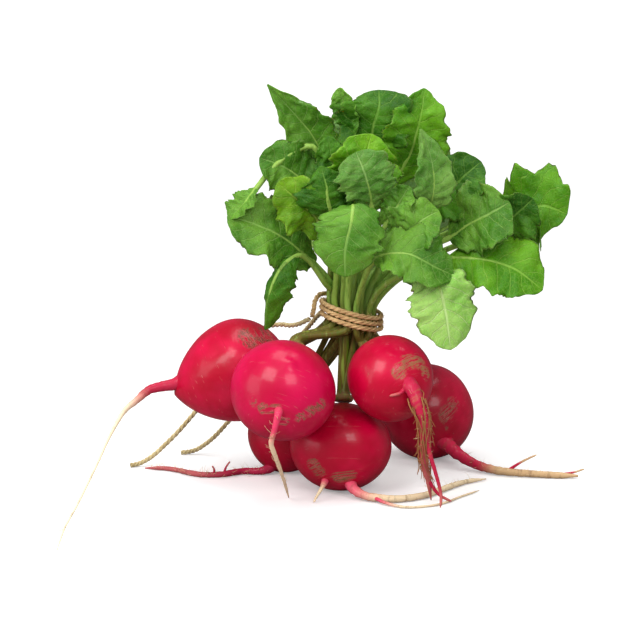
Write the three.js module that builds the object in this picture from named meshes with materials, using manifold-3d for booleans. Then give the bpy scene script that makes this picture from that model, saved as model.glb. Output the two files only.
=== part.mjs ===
// A bunch of six radishes standing on its own roots, tied with jute twine.
// Millimetres, +Z up. The view from -Y shows the side with the long pale root at the left.
// Places are written from the foot of radish 4, the low one in the middle. The last lines
// move the whole bunch so that its origin is the middle of its footprint.
import * as THREE from 'three';
import { mergeVertices } from 'three/addons/utils/BufferGeometryUtils.js';
import Module from 'manifold-3d';

const wasm = await Module();
wasm.setup();

// Driving dimensions
const BUNDLE_CENTRE = [4, 12, 67];
const SLOT_SPACING = 3.35;
const PETIOLE_RADIUS = 1.4;
const PETIOLE_RADIUS_BELOW_BLADE = 1.1;
const BLADE_THICKNESS = 0.7;
const TIP_RADIUS = 0.35;
const TOOTH_DEPTH = 0.16;
const CLEARANCE = 0.3;
const TWINE_DIAMETER = 1.9;
const TWINE_TURNS = 3;
const TWINE_PITCH = 2.25;
const BAND_SLOPE = 0.3;
const TWINE_SIDES = 8;
const TAIL_STEPS = 20;
const BAND_STEPS = 50;
const ROOT_SIDES = 6;
const ROOTLET_SIDES = 4;
const BULB_SEGMENTS = 20;
const BULB_RINGS = 12;
const BUNDLE_RADIUS = 2.65 * SLOT_SPACING + PETIOLE_RADIUS;

// Each radish: middle of the bulb, axis from root to crown, half widths, and its roots.
// A root is a list of points with the root's radius at each point as the fourth number.
const RADISHES = [
  {
    centre: [-39.5, 17.2, 43.4], axis: [0.93, 0.12, 0.34], radius: 20.3,
    crownReach: 19.5, rootReach: 27, taper: 1.5, turn: 0.4, colour: 0xa81030,
    roots: [
      [[-58, 14.6, 40, 5], [-65, 12.4, 38.6, 2.3], [-74.3, 9.5, 37, 1.7], [-78.7, 6, 33.9, 1.5],
        [-83, 1, 31, 1.3], [-85.5, -8, 28, 1.0], [-88, -22, 24, 0.75], [-91, -38, 18, 0.6],
        [-95.4, -60, 10.4, 0.55], [-98.5, -71, 5.5, 0.5], [-100, -81, 0.3, 0.5]],
    ],
  },
  {
    centre: [-22, -18.6, 43.6], axis: [0.25, 0.75, 0.6], radius: 19.4,
    crownReach: 18.6, rootReach: 19.6, taper: 1, turn: 1.7, colour: 0xd01245,
    roots: [
      [[-23, -33, 42, 2.2], [-23.4, -38, 39.6, 1.5], [-24.7, -39.8, 34, 1.1], [-26.1, -38.5, 28.4, 0.95],
        [-24.9, -35, 23, 0.85], [-23.2, -30, 16.7, 0.75], [-21.5, -22, 8.7, 0.6], [-20, -14, 0.3, 0.5]],
    ],
  },
  {
    centre: [-21.5, 27.5, 14.8], axis: [0.42, 0.1, 0.9], radius: 15,
    crownReach: 14.5, rootReach: 15.6, taper: 1.1, turn: 2.6, colour: 0x9c0c2c,
    roots: [
      [[-24, 24, 5, 2.4], [-28.5, 20.5, 2.4, 1.9], [-33, 20, 1.6, 1.4], [-38, 21, 1.4, 1.3],
        [-46, 17, 1.3, 1.2], [-52, 16, 1.2, 1.1], [-58, 18, 1.2, 1.1], [-64, 23, 1.1, 1.0],
        [-70, 26.5, 1.0, 0.9], [-78, 27.5, 0.8, 0.7]],
      [[-46, 17, 1.3, 0.6], [-45, 18, 4, 0.4], [-43.5, 18.5, 6, 0.35]],
      [[-50, 16, 1.3, 0.6], [-49.6, 15.5, 3.4, 0.4], [-50.5, 15.5, 5, 0.35]],
    ],
  },
  {
    centre: [0, 0, 16.9], axis: [0.05, 0.4, 0.91], radius: 19.3,
    crownReach: 17, rootReach: 17, taper: 1, turn: 0.9, colour: 0xb40f35,
    roots: [
      [[2.5, -9, 8, 3], [4.5, -14.5, 4.2, 2.0], [9, -17.5, 2.3, 1.6], [14, -19, 1.9, 1.5],
        [20, -19.5, 1.6, 1.4], [30, -15, 1.5, 1.3], [37, -7.5, 1.4, 1.2], [43, 0, 1.3, 1.1],
        [49.5, 7, 1.1, 0.9], [57, 11.5, 0.8, 0.6]],
      [[12, -18.5, 2, 0.8], [17, -24, 1.2, 0.6], [24, -27, 0.6, 0.5], [36, -23.5, 0.6, 0.45],
        [46, -12, 0.6, 0.4], [53, -4, 0.5, 0.35]],
      [[-6, -12, 7, 1.6], [-7.6, -17.2, 5, 0.7], [-9.5, -18.6, 2.2, 0.5], [-10.5, -20.5, 0.6, 0.4]],
    ],
  },
  {
    centre: [18.3, -10, 46.2], axis: [-0.48, 0.76, 0.44], radius: 16.4,
    crownReach: 16, rootReach: 16.6, taper: 1, turn: 3.8, colour: 0xc4103c,
    roots: [
      [[22, -19, 47, 4.6], [25.6, -25.5, 46.2, 3.0], [27.8, -28.8, 41, 2.4], [30, -29, 35.5, 2.2],
        [30.6, -27.6, 28.4, 2.0], [30.7, -25.4, 21, 1.8], [30.9, -23.8, 16.3, 1.6],
        [32.6, -20.5, 8.8, 1.0], [33.9, -17.4, 0.1, 0.6]],
      [[30.4, -27.4, 29, 1.3], [33, -27.6, 20, 0.8], [35.8, -26.6, 10.5, 0.7], [37, -26.4, 5, 0.6],
        [36.8, -27.6, 0.1, 0.5]],
      [[32.4, -20.8, 9.5, 0.8], [36.6, -20.4, 3.6, 0.6], [41.5, -19.5, 0.6, 0.45]],
      [[24, -24, 47, 1.4], [21.6, -26.6, 44.4, 0.7], [17.5, -27.6, 43.4, 0.45]],
    ],
  },
  {
    centre: [35.5, 49, 18.9], axis: [-0.5, 0.05, 0.86], radius: 19.2,
    crownReach: 19.4, rootReach: 19.6, taper: 1, turn: 5.1, colour: 0x8c0a28,
    roots: [
      [[38.5, 40, 13.5, 6], [42.5, 33.5, 9.6, 3.2], [47, 30, 6.2, 2.4], [53, 26, 3.2, 1.9],
        [58.5, 22, 2.2, 1.7], [64, 19, 1.9, 1.6], [74, 16.5, 1.6, 1.4], [84, 15, 1.4, 1.3],
        [93.4, 14, 1.3, 1.1]],
      [[66, 18.4, 2, 0.8], [71, 17, 6, 0.45], [77, 15.5, 9.5, 0.35]],
      [[86, 14.8, 1.6, 0.7], [92, 15.5, 2.4, 0.4], [96, 16, 3.6, 0.35]],
    ],
  },
];

// Each leaf: the radish that it grew on, its place in the tied bundle, the route of its stalk
// and midrib above the tie, the route point where the blade starts, the blade's half width,
// the way that its upper side faces at mid blade, and how far it is folded and waved. Some
// blades also have their own widest place, bluntness or depth of tooth.
const LEAVES = [
  {
    radish: 1, slot: [-5, -1], bladeFrom: 1, half: 14.5, face: [-0.2, -0.75, 0.6], fold: 0.15, wave: 0.2,
    route: [[-4, 8, 79], [-10, 6, 87], [-16, 2, 93], [-23, -2, 99], [-33, -4, 104], [-43, -4, 107]],
  },
  {
    radish: 1, slot: [-4, 0], bladeFrom: 2, half: 9.5, face: [-0.5, -0.8, 0.3], fold: -0.9, wave: 0.12,
    route: [[-6, 3, 80], [-12, 0, 89], [-16, -3, 92], [-22, -7, 89], [-27, -8, 79], [-29, -1, 63]],
  },
  {
    radish: 1, slot: [-5, 1], bladeFrom: 4, half: 7, face: [-0.6, -0.6, 0.5], fold: 0.3, wave: 0.15,
    route: [[-4, 11, 87], [-5, 10, 115], [-11, 7, 132], [-24, 5, 126], [-32, 1, 117], [-37, -2, 111],
      [-42, -4, 106]],
  },
  {
    radish: 1, slot: [-3, 1], bladeFrom: 2, half: 12, face: [-0.3, -0.8, 0.5], fold: 0.25, wave: 0.25,
    route: [[-2, 11, 84], [-7, 11, 103], [-11, 9, 113], [-16, 7, 120], [-23, 5, 125], [-31, 4, 128]],
  },
  {
    radish: 2, slot: [-1, -3], bladeFrom: 1, half: 15, face: [-0.1, -1, 0.1], fold: -0.3, wave: 0.06,
    widest: 0.64, blunt: 0.5,
    route: [[3, -2, 89], [3, -9, 106], [4, -17, 113], [3, -24, 107], [1, -25, 98], [1, -22, 87]],
  },
  {
    radish: 2, slot: [-4, -2], bladeFrom: 1, half: 12, face: [-0.3, -0.9, 0.3], fold: 0.2, wave: 0.3,
    route: [[-2, 3, 85], [-6, 0, 97], [-9, -3, 105], [-13, -6, 110], [-18, -8, 115], [-24, -7, 120]],
  },
  {
    radish: 2, slot: [-2, -2], bladeFrom: 2, half: 15, face: [0, -1, 0.1], fold: -0.45, wave: 0.1,
    widest: 0.4, blunt: 0.9,
    route: [[1, 2, 85], [-2, -3, 98], [-3, -8, 106], [-5, -12, 113], [-6, -14, 120], [-8, -13, 127]],
  },
  {
    radish: 2, slot: [0, -2], bladeFrom: 2, half: 12, face: [0.1, -1, -0.1], fold: 0.15, wave: 0.06,
    widest: 0.6, blunt: 0.5,
    route: [[6, 1, 89], [10, -5, 103], [11, -8, 111], [10, -12, 118], [8, -14, 125], [5, -12, 132]],
  },
  {
    radish: 2, slot: [-3, -1], bladeFrom: 2, half: 7, face: [-0.2, -1, 0.1], fold: 0.5, wave: 0.1,
    route: [[1, 7, 87], [0, 8, 106], [-1, 8, 114], [-3, 6, 122], [-4, 5, 129], [-5, 6, 136]],
  },
  {
    radish: 5, slot: [4, -2], bladeFrom: 2, half: 14, face: [0.15, -1, 0.1], fold: -0.2, wave: 0.1,
    route: [[16, 0, 80], [25, -9, 87], [30, -15, 90], [35, -21, 85], [38, -24, 74], [40, -24, 60]],
  },
  {
    radish: 5, slot: [1, -3], bladeFrom: 1, half: 13, face: [-0.1, -0.75, 0.65], fold: 0.2, wave: 0.12,
    route: [[9, -6, 85], [12, -14, 92], [17, -18, 95], [25, -20, 95], [33, -21, 91], [41, -19, 87]],
  },
  {
    radish: 5, slot: [2, -2], bladeFrom: 2, half: 7, face: [-0.3, -0.9, 0.2], fold: 0.3, wave: 0.1,
    route: [[9, 2, 85], [12, -1, 96], [16, -5, 103], [19, -8, 109], [22, -9, 114], [25, -9, 119]],
  },
  {
    radish: 5, slot: [5, -1], bladeFrom: 2, half: 16, face: [0.1, -0.75, 0.65], fold: 0.1, wave: 0.12,
    blunt: 0.7,
    route: [[21, 9, 80], [33, 4, 87], [40, 0, 90], [51, -6, 91], [64, -10, 88], [75, -11, 80]],
  },
  {
    radish: 5, slot: [3, -1], bladeFrom: 1, half: 12, face: [-0.1, -0.9, 0.4], fold: 0.3, wave: 0.15,
    route: [[14, 5, 85], [18, -3, 94], [22, -9, 99], [26, -12, 103], [30, -13, 107], [36, -11, 110]],
  },
  {
    radish: 4, slot: [-1, -1], bladeFrom: 1, half: 15, face: [0, -1, 0.2], fold: 0.15, wave: 0.15,
    route: [[4, 7, 87], [6, 4, 104], [7, 1, 114], [8, -2, 122], [9, -5, 130], [11, -5, 138]],
  },
  {
    radish: 4, slot: [1, -1], bladeFrom: 2, half: 8.5, face: [0.1, -1, 0], fold: 0.35, wave: 0.06,
    widest: 0.4, blunt: 1,
    route: [[11, 8, 88], [24, 2, 102], [32, -5, 110], [34, -9, 118], [33, -9, 129], [29, -7, 140]],
  },
  {
    radish: 4, slot: [0, 0], bladeFrom: 1, half: 16, face: [0, -0.9, 0.4], fold: 0.2, wave: 0.2,
    route: [[6, 11, 87], [9, 12, 119], [11, 10, 132], [12, 7, 140], [14, 6, 147], [14, 10, 153]],
  },
  {
    radish: 4, slot: [-2, 0], bladeFrom: 2, half: 6, face: [-0.4, -0.9, 0], fold: 0.5, wave: 0.1,
    route: [[4, 11, 87], [5, 11, 122], [4, 10, 134], [3, 9, 142], [1, 8, 148], [-1, 8, 154]],
  },
  {
    radish: 4, slot: [2, 0], bladeFrom: 1, half: 14, face: [0.1, -1, 0.1], fold: 0.2, wave: 0.1,
    widest: 0.45, blunt: 0.8,
    route: [[10, 12, 87], [20, 11, 117], [26, 8, 129], [28, 5, 137], [30, 4, 146], [31, 6, 154]],
  },
  {
    radish: 6, slot: [4, 0], bladeFrom: 2, half: 16, face: [-0.2, -0.85, 0.5], fold: 0.15, wave: 0.15,
    route: [[20, 13, 82], [33, 10, 93], [41, 6, 97], [48, 1, 103], [56, -3, 108], [63, -3, 112]],
  },
  {
    radish: 6, slot: [5, 1], bladeFrom: 2, half: 12, face: [0.3, -0.9, 0.2], fold: 0.3, wave: 0.15,
    route: [[24, 16, 81], [42, 14, 92], [55, 10, 96], [61, 5, 102], [67, 2, 108], [72, 1, 113]],
  },
  {
    radish: 6, slot: [3, 1], bladeFrom: 2, half: 18, face: [-0.1, -0.95, 0.25], fold: 0.15, wave: 0.2,
    tooth: 0.26,
    route: [[20, 18, 84], [42, 21, 97], [59, 18, 101], [68, 13, 106], [77, 10, 109], [86, 8, 106]],
  },
  {
    radish: 6, slot: [1, 1], bladeFrom: 1, half: 14, face: [-0.1, -0.9, 0.3], fold: 0.3, wave: 0.12,
    route: [[12, 15, 87], [28, 15, 105], [36, 12, 111], [42, 9, 116], [47, 8, 121], [53, 9, 126]],
  },
  {
    radish: 6, slot: [4, 2], bladeFrom: 1, half: 16, face: [0.2, 0.6, 0.8], fold: 0.2, wave: 0.2,
    route: [[17, 22, 82], [29, 34, 90], [38, 41, 94], [45, 46, 97], [52, 48, 101], [60, 46, 105]],
  },
  {
    radish: 6, slot: [2, 2], bladeFrom: 1, half: 15, face: [0.3, 0.8, 0.6], fold: 0.15, wave: 0.15,
    route: [[12, 24, 80], [20, 36, 83], [27, 44, 83], [32, 51, 80], [37, 55, 74], [41, 55, 66]],
  },
  {
    radish: 3, slot: [-1, 1], bladeFrom: 2, half: 12, face: [-0.3, -0.9, 0.4], fold: 0.6, wave: 0.06,
    widest: 0.36, blunt: 1.1,
    route: [[2, 16, 86], [-2, 18, 108], [-6, 18, 124], [-11, 16, 135], [-19, 13, 145], [-28, 10, 155]],
  },
  {
    radish: 3, slot: [-2, 2], bladeFrom: 1, half: 16, face: [-0.2, 0.9, 0.3], fold: 0.2, wave: 0.18,
    route: [[1, 20, 86], [-2, 28, 107], [-5, 33, 117], [-7, 36, 125], [-10, 37, 132], [-13, 35, 139]],
  },
  {
    radish: 3, slot: [-4, 2], bladeFrom: 1, half: 16, face: [-0.2, 0.6, 0.8], fold: 0.2, wave: 0.2,
    route: [[-3, 20, 82], [-12, 32, 92], [-18, 38, 97], [-23, 42, 100], [-29, 44, 102], [-37, 43, 104]],
  },
  {
    radish: 3, slot: [0, 2], bladeFrom: 1, half: 16, face: [0, 0.95, 0.2], fold: 0.15, wave: 0.15,
    route: [[4, 20, 86], [7, 25, 111], [8, 28, 122], [9, 31, 131], [10, 32, 139], [11, 31, 146]],
  },
  {
    radish: 3, slot: [-1, 3], bladeFrom: 1, half: 16, face: [0, 0.9, 0.5], fold: -0.15, wave: 0.12,
    route: [[4, 24, 82], [5, 38, 91], [7, 46, 93], [9, 53, 90], [10, 57, 83], [11, 57, 75]],
  },
  {
    radish: 3, slot: [1, 3], bladeFrom: 1, half: 16, face: [0.2, 0.9, 0.3], fold: 0.2, wave: 0.18,
    route: [[8, 22, 85], [19, 30, 106], [25, 34, 116], [29, 36, 122], [33, 37, 128], [37, 34, 135]],
  },
];
const TEETH = 5;
const WIDEST_AT = 0.55;
const BLUNTNESS = 0.6;
const WIDE_BLADE = 12.5;
const WIDE_BLADE_COLUMNS = 5;
const NARROW_BLADE_COLUMNS = 3;
const FOLD_AT_RIB = 0.6;
const BLADE_WAVES = 2.3;
const WAVE_OFFSET = 1.9;
const CROWN_HEIGHT = 3.2;
const CROWN_RADIUS = 3.8;

// The band starts at the left and leaves its last turn just short of that, behind the stalks
const BAND_START_ANGLE = 0.94 * Math.PI;
const BAND_POINTS_PER_TURN = 16;
const BAND_POINTS = TWINE_TURNS * BAND_POINTS_PER_TURN - 3;

// The last of the band, laid down across its turns on the left
const BAND_END = [[-7.6, 18.4, 73.3], [-10, 14.8, 71.2], [-10.6, 11.2, 68.4], [-11.2, 9.2, 66.1]];

// The loose ends of the twine, from the band to the ground behind radish 1
const TWINE_TAILS = [
  {
    name: 'twine_tail_long',
    route: [[-12.2, 9.2, 65.1], [-15.8, 11.8, 62.8], [-19.3, 16, 61.2], [-23, 21.7, 60.4],
      [-27, 27.4, 58.9], [-31, 32.5, 56.6], [-34.8, 36.1, 52.9], [-38.5, 39, 48],
      [-42.2, 40.8, 42.4], [-46, 42, 36.5], [-50, 41.8, 31.1], [-54, 41, 26],
      [-58, 40.4, 21.1], [-62, 39.5, 16.5], [-66, 38.1, 12.2], [-70, 36.5, 8.5],
      [-73.5, 35.1, 5.4], [-77, 33.5, 3], [-80.4, 32.3, 1.5], [-84, 31, 1]],
  },
  {
    name: 'twine_tail_short',
    route: [[-7.9, 15, 66.3], [-8.8, 19, 64.6], [-10.2, 22, 62.3], [-12, 25, 59.5],
      [-14.4, 28.4, 56], [-17, 31.5, 52], [-20.4, 34.7, 47.6], [-24, 37.5, 43],
      [-27.5, 40.4, 38.1], [-31, 43, 33], [-35, 45.5, 27.7], [-39, 47.5, 22.5],
      [-42.8, 49, 17.5], [-46.5, 50, 13], [-49.5, 50.7, 9.5], [-52.5, 51, 6.5],
      [-55.5, 51.2, 4.1], [-58.5, 51.3, 2.2], [-61.7, 51.2, 1.3], [-65, 51, 1]],
  },
];
const GROUND_SIZE = 400;
const GROUND_DEPTH = 20;

function vector(point) {
  return new THREE.Vector3(point[0], point[1], point[2]);
}

function smoothRoute(points) {
  return new THREE.CatmullRomCurve3(points, false, 'centripetal');
}

// A closed skin over rings of points; every ring goes the same way round and has as many points.
// Points 0 to half of a ring are its upper side, and the lower side is split into triangles alike.
function skin(rings) {
  const around = rings[0].length;
  const upper = around / 2;
  const positions = [];
  const faces = [];
  for (const ring of rings) {
    for (const point of ring) positions.push(point.x, point.y, point.z);
  }
  for (let row = 0; row < rings.length - 1; row += 1) {
    for (let i = 0; i < around; i += 1) {
      const here = row * around + i;
      const beside = row * around + ((i + 1) % around);
      if (i < upper) {
        faces.push(here, beside, beside + around, here, beside + around, here + around);
      } else {
        faces.push(here, beside, here + around, beside, beside + around, here + around);
      }
    }
  }
  const last = (rings.length - 1) * around;
  for (let i = 0; i < upper - 1; i += 1) {
    const across = around - 1 - i;
    faces.push(i, across, i + 1, i + 1, across, across - 1);
    faces.push(last + i, last + i + 1, last + across, last + i + 1, last + across - 1, last + across);
  }
  const geometry = new THREE.BufferGeometry();
  geometry.setAttribute('position', new THREE.Float32BufferAttribute(positions, 3));
  geometry.setIndex(faces);
  return geometry;
}

function solidFrom(geometry) {
  const bare = geometry.clone();
  bare.deleteAttribute('normal');
  bare.deleteAttribute('uv');
  const merged = mergeVertices(bare, 1e-4);
  const solid = new wasm.Manifold(new wasm.Mesh({
    numProp: 3,
    vertProperties: new Float32Array(merged.attributes.position.array),
    triVerts: new Uint32Array(merged.index.array),
  }));
  return solid;
}

function geometryFrom(solid) {
  const mesh = solid.getMesh();
  const geometry = new THREE.BufferGeometry();
  geometry.setAttribute('position', new THREE.Float32BufferAttribute(mesh.vertProperties, 3));
  geometry.setIndex(Array.from(mesh.triVerts));
  return geometry;
}

function fuse(solids) {
  return solids.reduce((whole, next) => whole.add(next));
}

function squared(normal, tangent) {
  return normal.clone().addScaledVector(tangent, -normal.dot(tangent)).normalize();
}

// Directions across a route that don't twist, carried both ways from the station whose facing is given
function carriedNormals(tangents, start, facing) {
  const normals = [];
  normals[start] = squared(facing, tangents[start]);
  for (let i = start + 1; i < tangents.length; i += 1) normals[i] = squared(normals[i - 1], tangents[i]);
  for (let i = start - 1; i >= 0; i -= 1) normals[i] = squared(normals[i + 1], tangents[i]);
  return normals;
}

// A round root that tapers along its route
function rootGeometry(route, sides) {
  const curve = smoothRoute(route.map(vector));
  const spans = route.length - 1;
  const tangents = route.map((point, i) => curve.getTangent(i / spans));
  const normals = carriedNormals(tangents, 0, new THREE.Vector3(0.3, 0.2, 0.9));
  const rings = route.map((point, i) => {
    const side = new THREE.Vector3().crossVectors(tangents[i], normals[i]);
    const ring = [];
    for (let k = 0; k < sides; k += 1) {
      const angle = Math.PI * 2 * (k + 0.5) / sides;
      const place = vector(point);
      place.addScaledVector(side, -Math.cos(angle) * point[3]);
      place.addScaledVector(normals[i], Math.sin(angle) * point[3]);
      ring.push(place);
    }
    return ring;
  });
  return skin(rings);
}

// The slight unevenness of a grown bulb, as a factor of its half width in one direction
function unevenness(direction, turn) {
  const around = Math.atan2(direction.z, direction.x);
  const girth = Math.sqrt(1 - Math.min(1, direction.y * direction.y));
  const bulge = 0.014 * Math.sin(2 * around + turn) + 0.009 * Math.sin(3 * around - 2 * turn);
  return 1 + girth * bulge + 0.008 * Math.sin(4 * direction.y + turn);
}

function bulbGeometry(radish) {
  const profile = [];
  for (let i = 0; i <= BULB_RINGS; i += 1) {
    const angle = Math.PI * i / BULB_RINGS;
    const along = -Math.cos(angle);
    const reach = along < 0 ? radish.rootReach : radish.crownReach;
    const girth = Math.sin(angle) ** (along < 0 ? radish.taper : 1);
    const onAxis = i === 0 || i === BULB_RINGS;
    profile.push(new THREE.Vector2(onAxis ? 0 : radish.radius * girth, reach * along));
  }
  const geometry = new THREE.LatheGeometry(profile, BULB_SEGMENTS);
  const place = geometry.attributes.position;
  const point = new THREE.Vector3();
  for (let i = 0; i < place.count; i += 1) {
    point.fromBufferAttribute(place, i);
    const direction = point.clone().normalize();
    point.multiplyScalar(unevenness(direction, radish.turn));
    place.setXYZ(i, point.x, point.y, point.z);
  }
  const turned = new THREE.Quaternion();
  turned.setFromUnitVectors(new THREE.Vector3(0, 1, 0), vector(radish.axis).normalize());
  geometry.applyQuaternion(turned);
  geometry.translate(...radish.centre);
  return geometry;
}

// Bulb, taproot and side roots in one solid, pressed flat where it stands on the ground
function radishSolid(radish) {
  const roots = radish.roots.map((route, i) => {
    const sides = i === 0 ? ROOT_SIDES : ROOTLET_SIDES;
    return solidFrom(rootGeometry(route, sides));
  });
  const whole = fuse([solidFrom(bulbGeometry(radish)), ...roots]);
  const ground = new THREE.BoxGeometry(GROUND_SIZE, GROUND_SIZE, GROUND_DEPTH);
  ground.translate(0, 0, -GROUND_DEPTH / 2);
  return whole.subtract(solidFrom(ground));
}

function crownPlace(radish, height) {
  const axis = vector(radish.axis).normalize();
  return vector(radish.centre).addScaledVector(axis, radish.crownReach + height);
}

// The pale button that a radish's leaves grow from, just above its bulb
function crownGeometry(radish) {
  const profile = [
    new THREE.Vector2(0, 0),
    new THREE.Vector2(CROWN_RADIUS - 0.6, 0),
    new THREE.Vector2(CROWN_RADIUS, 0.9),
    new THREE.Vector2(CROWN_RADIUS - 0.8, CROWN_HEIGHT - 0.6),
    new THREE.Vector2(0, CROWN_HEIGHT),
  ];
  const geometry = new THREE.LatheGeometry(profile, 12);
  const turned = new THREE.Quaternion();
  turned.setFromUnitVectors(new THREE.Vector3(0, 1, 0), vector(radish.axis).normalize());
  geometry.applyQuaternion(turned);
  const foot = crownPlace(radish, 2 * CLEARANCE);
  geometry.translate(foot.x, foot.y, foot.z);
  return geometry;
}

function slotPlace(slot) {
  const x = BUNDLE_CENTRE[0] + slot[0] * SLOT_SPACING / 2;
  const y = BUNDLE_CENTRE[1] + slot[1] * SLOT_SPACING * Math.sqrt(3) / 2;
  return [x, y];
}

// Stalk and midrib of a leaf: out of the crown, through the tie, then along its own route
function leafRoute(leaf) {
  const radish = RADISHES[leaf.radish - 1];
  const axis = vector(radish.axis).normalize();
  const [x, y] = slotPlace(leaf.slot);
  const drop = -BAND_SLOPE * (x - BUNDLE_CENTRE[0]);
  const spread = new THREE.Vector3(leaf.slot[0] * 0.5, leaf.slot[1] * 0.7, 0);
  spread.addScaledVector(axis, -spread.dot(axis));
  spread.clampLength(0, CROWN_RADIUS - PETIOLE_RADIUS);
  const start = crownPlace(radish, 2 * CLEARANCE + 1.4).add(spread);
  const out = start.clone().addScaledVector(axis, 4).addScaledVector(spread, 0.15);
  return [
    start,
    out,
    new THREE.Vector3(x, y, BUNDLE_CENTRE[2] - 5 + drop),
    new THREE.Vector3(x, y, BUNDLE_CENTRE[2] + 5 + drop),
    ...leaf.route.map(vector),
  ];
}

// Half width of a blade at a share of its length, with a toothed edge; side is -1 or 1
function bladeHalfWidth(leaf, share, side) {
  const swell = Math.log(0.5) / Math.log(leaf.widest ?? WIDEST_AT);
  const full = leaf.half * Math.sin(Math.PI * share ** swell) ** (leaf.blunt ?? BLUNTNESS);
  const tooth = 0.5 - 0.5 * side * Math.cos(2 * Math.PI * TEETH * share);
  return full * (1 - (leaf.tooth ?? TOOTH_DEPTH) * tooth);
}

// How far a point of the blade stands across and above the midrib, and the way that it faces there
function bladePoint(leaf, share, across) {
  const side = Math.sign(across);
  const reach = Math.abs(across) * bladeHalfWidth(leaf, share, side);
  const angle = leaf.fold * (FOLD_AT_RIB + (1 - FOLD_AT_RIB) * Math.abs(across));
  const fade = Math.sin(Math.PI * Math.min(1, share * 1.05)) ** 0.5;
  const waving = Math.sin(2 * Math.PI * BLADE_WAVES * share + WAVE_OFFSET * side + leaf.slot[0]);
  const wave = leaf.wave * leaf.half * Math.abs(across) ** 1.6 * fade * waving;
  return {
    out: side * reach * Math.cos(angle),
    up: reach * Math.sin(angle) + wave,
    tilt: side * angle,
  };
}

// One ring at each point of the stalk, then two for each tooth of the blade
function leafRings(leaf) {
  const points = leafRoute(leaf);
  const curve = smoothRoute(points);
  const spans = points.length - 1;
  const bladeStart = 4 + leaf.bladeFrom;
  const bladeSteps = 2 * TEETH;
  const stations = [];
  for (let i = 0; i < bladeStart; i += 1) stations.push({ at: i / spans, share: 0 });
  for (let i = 0; i <= bladeSteps; i += 1) {
    const share = i / bladeSteps;
    stations.push({ at: (bladeStart + share * (spans - bladeStart)) / spans, share });
  }
  const columns = leaf.half >= WIDE_BLADE ? WIDE_BLADE_COLUMNS : NARROW_BLADE_COLUMNS;
  const tangents = stations.map((station) => curve.getTangent(Math.min(1, station.at)));
  const normals = carriedNormals(tangents, bladeStart + TEETH, vector(leaf.face));
  return stations.map((station, i) => {
    const centre = curve.getPoint(Math.min(1, station.at));
    const side = new THREE.Vector3().crossVectors(tangents[i], normals[i]);
    const grown = Math.min(1, i / bladeStart);
    const stalk = THREE.MathUtils.lerp(PETIOLE_RADIUS, PETIOLE_RADIUS_BELOW_BLADE, grown);
    const place = (out, up) => centre.clone().addScaledVector(side, out).addScaledVector(normals[i], up);
    const top = [];
    const bottom = [];
    for (let column = 0; column < columns; column += 1) {
      if (station.share === 0) {
        const angle = Math.PI * (1 - (column + 0.5) / columns);
        top.push(place(stalk * Math.cos(angle), stalk * Math.sin(angle)));
        bottom.unshift(place(stalk * Math.cos(angle), -stalk * Math.sin(angle)));
      } else {
        const across = -1 + 2 * column / (columns - 1);
        const point = bladePoint(leaf, station.share, across);
        const rib = THREE.MathUtils.lerp(PETIOLE_RADIUS_BELOW_BLADE, TIP_RADIUS, station.share);
        const half = across === 0 ? rib : BLADE_THICKNESS / 2;
        const least = across * TIP_RADIUS * (1 - station.share) + across * TIP_RADIUS;
        const out = point.out + least;
        const lean = Math.sin(point.tilt) * half;
        const rise = Math.cos(point.tilt) * half;
        top.push(place(out - lean, point.up + rise));
        bottom.unshift(place(out + lean, point.up - rise));
      }
    }
    return [...top, ...bottom];
  });
}

function leafSolid(leaf) {
  return solidFrom(skin(leafRings(leaf)));
}

function twineSection() {
  const outline = [];
  for (let i = 0; i < TWINE_SIDES; i += 1) {
    const angle = 2 * Math.PI * i / TWINE_SIDES;
    const radius = TWINE_DIAMETER / 2;
    outline.push(new THREE.Vector2(radius * Math.cos(angle), radius * Math.sin(angle)));
  }
  return new THREE.Shape(outline);
}

function twineAlong(curve, steps) {
  return new THREE.ExtrudeGeometry(twineSection(), { steps, bevelEnabled: false, extrudePath: curve });
}

// Three slanting turns round the stalks
function bandGeometry() {
  const radius = BUNDLE_RADIUS + CLEARANCE + TWINE_DIAMETER / 2;
  const points = [];
  for (let i = 0; i <= BAND_POINTS; i += 1) {
    const turns = i / BAND_POINTS_PER_TURN;
    const angle = BAND_START_ANGLE + 2 * Math.PI * turns;
    const x = radius * Math.cos(angle);
    const y = radius * Math.sin(angle);
    const z = TWINE_PITCH * (turns - TWINE_TURNS / 2) - BAND_SLOPE * x;
    points.push(new THREE.Vector3(BUNDLE_CENTRE[0] + x, BUNDLE_CENTRE[1] + y, BUNDLE_CENTRE[2] + z));
  }
  for (const place of BAND_END) points.push(vector(place));
  return twineAlong(smoothRoute(points), BAND_STEPS);
}

const bunch = new THREE.Group();
const lying = new THREE.Group();
bunch.add(lying);

function addPiece(name, geometry, colour, roughness) {
  const material = new THREE.MeshStandardMaterial({ color: colour, roughness, metalness: 0 });
  const mesh = new THREE.Mesh(geometry, material);
  mesh.name = name;
  lying.add(mesh);
  return mesh;
}

RADISHES.forEach((radish, i) => {
  addPiece(`radish_${i + 1}`, geometryFrom(radishSolid(radish)), radish.colour, 0.3);
});

RADISHES.forEach((radish, i) => {
  const own = LEAVES.filter((leaf) => leaf.radish === i + 1);
  const tuft = fuse([solidFrom(crownGeometry(radish)), ...own.map(leafSolid)]);
  addPiece(`leaves_${i + 1}`, geometryFrom(tuft), 0x3f8a1e, 0.5);
});

addPiece('twine_band', bandGeometry(), 0xa9794a, 0.9);
const tails = TWINE_TAILS.map((tail) => {
  const curve = smoothRoute(tail.route.map(vector));
  return addPiece(tail.name, twineAlong(curve, TAIL_STEPS), 0xd8c79c, 0.9);
});

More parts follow.
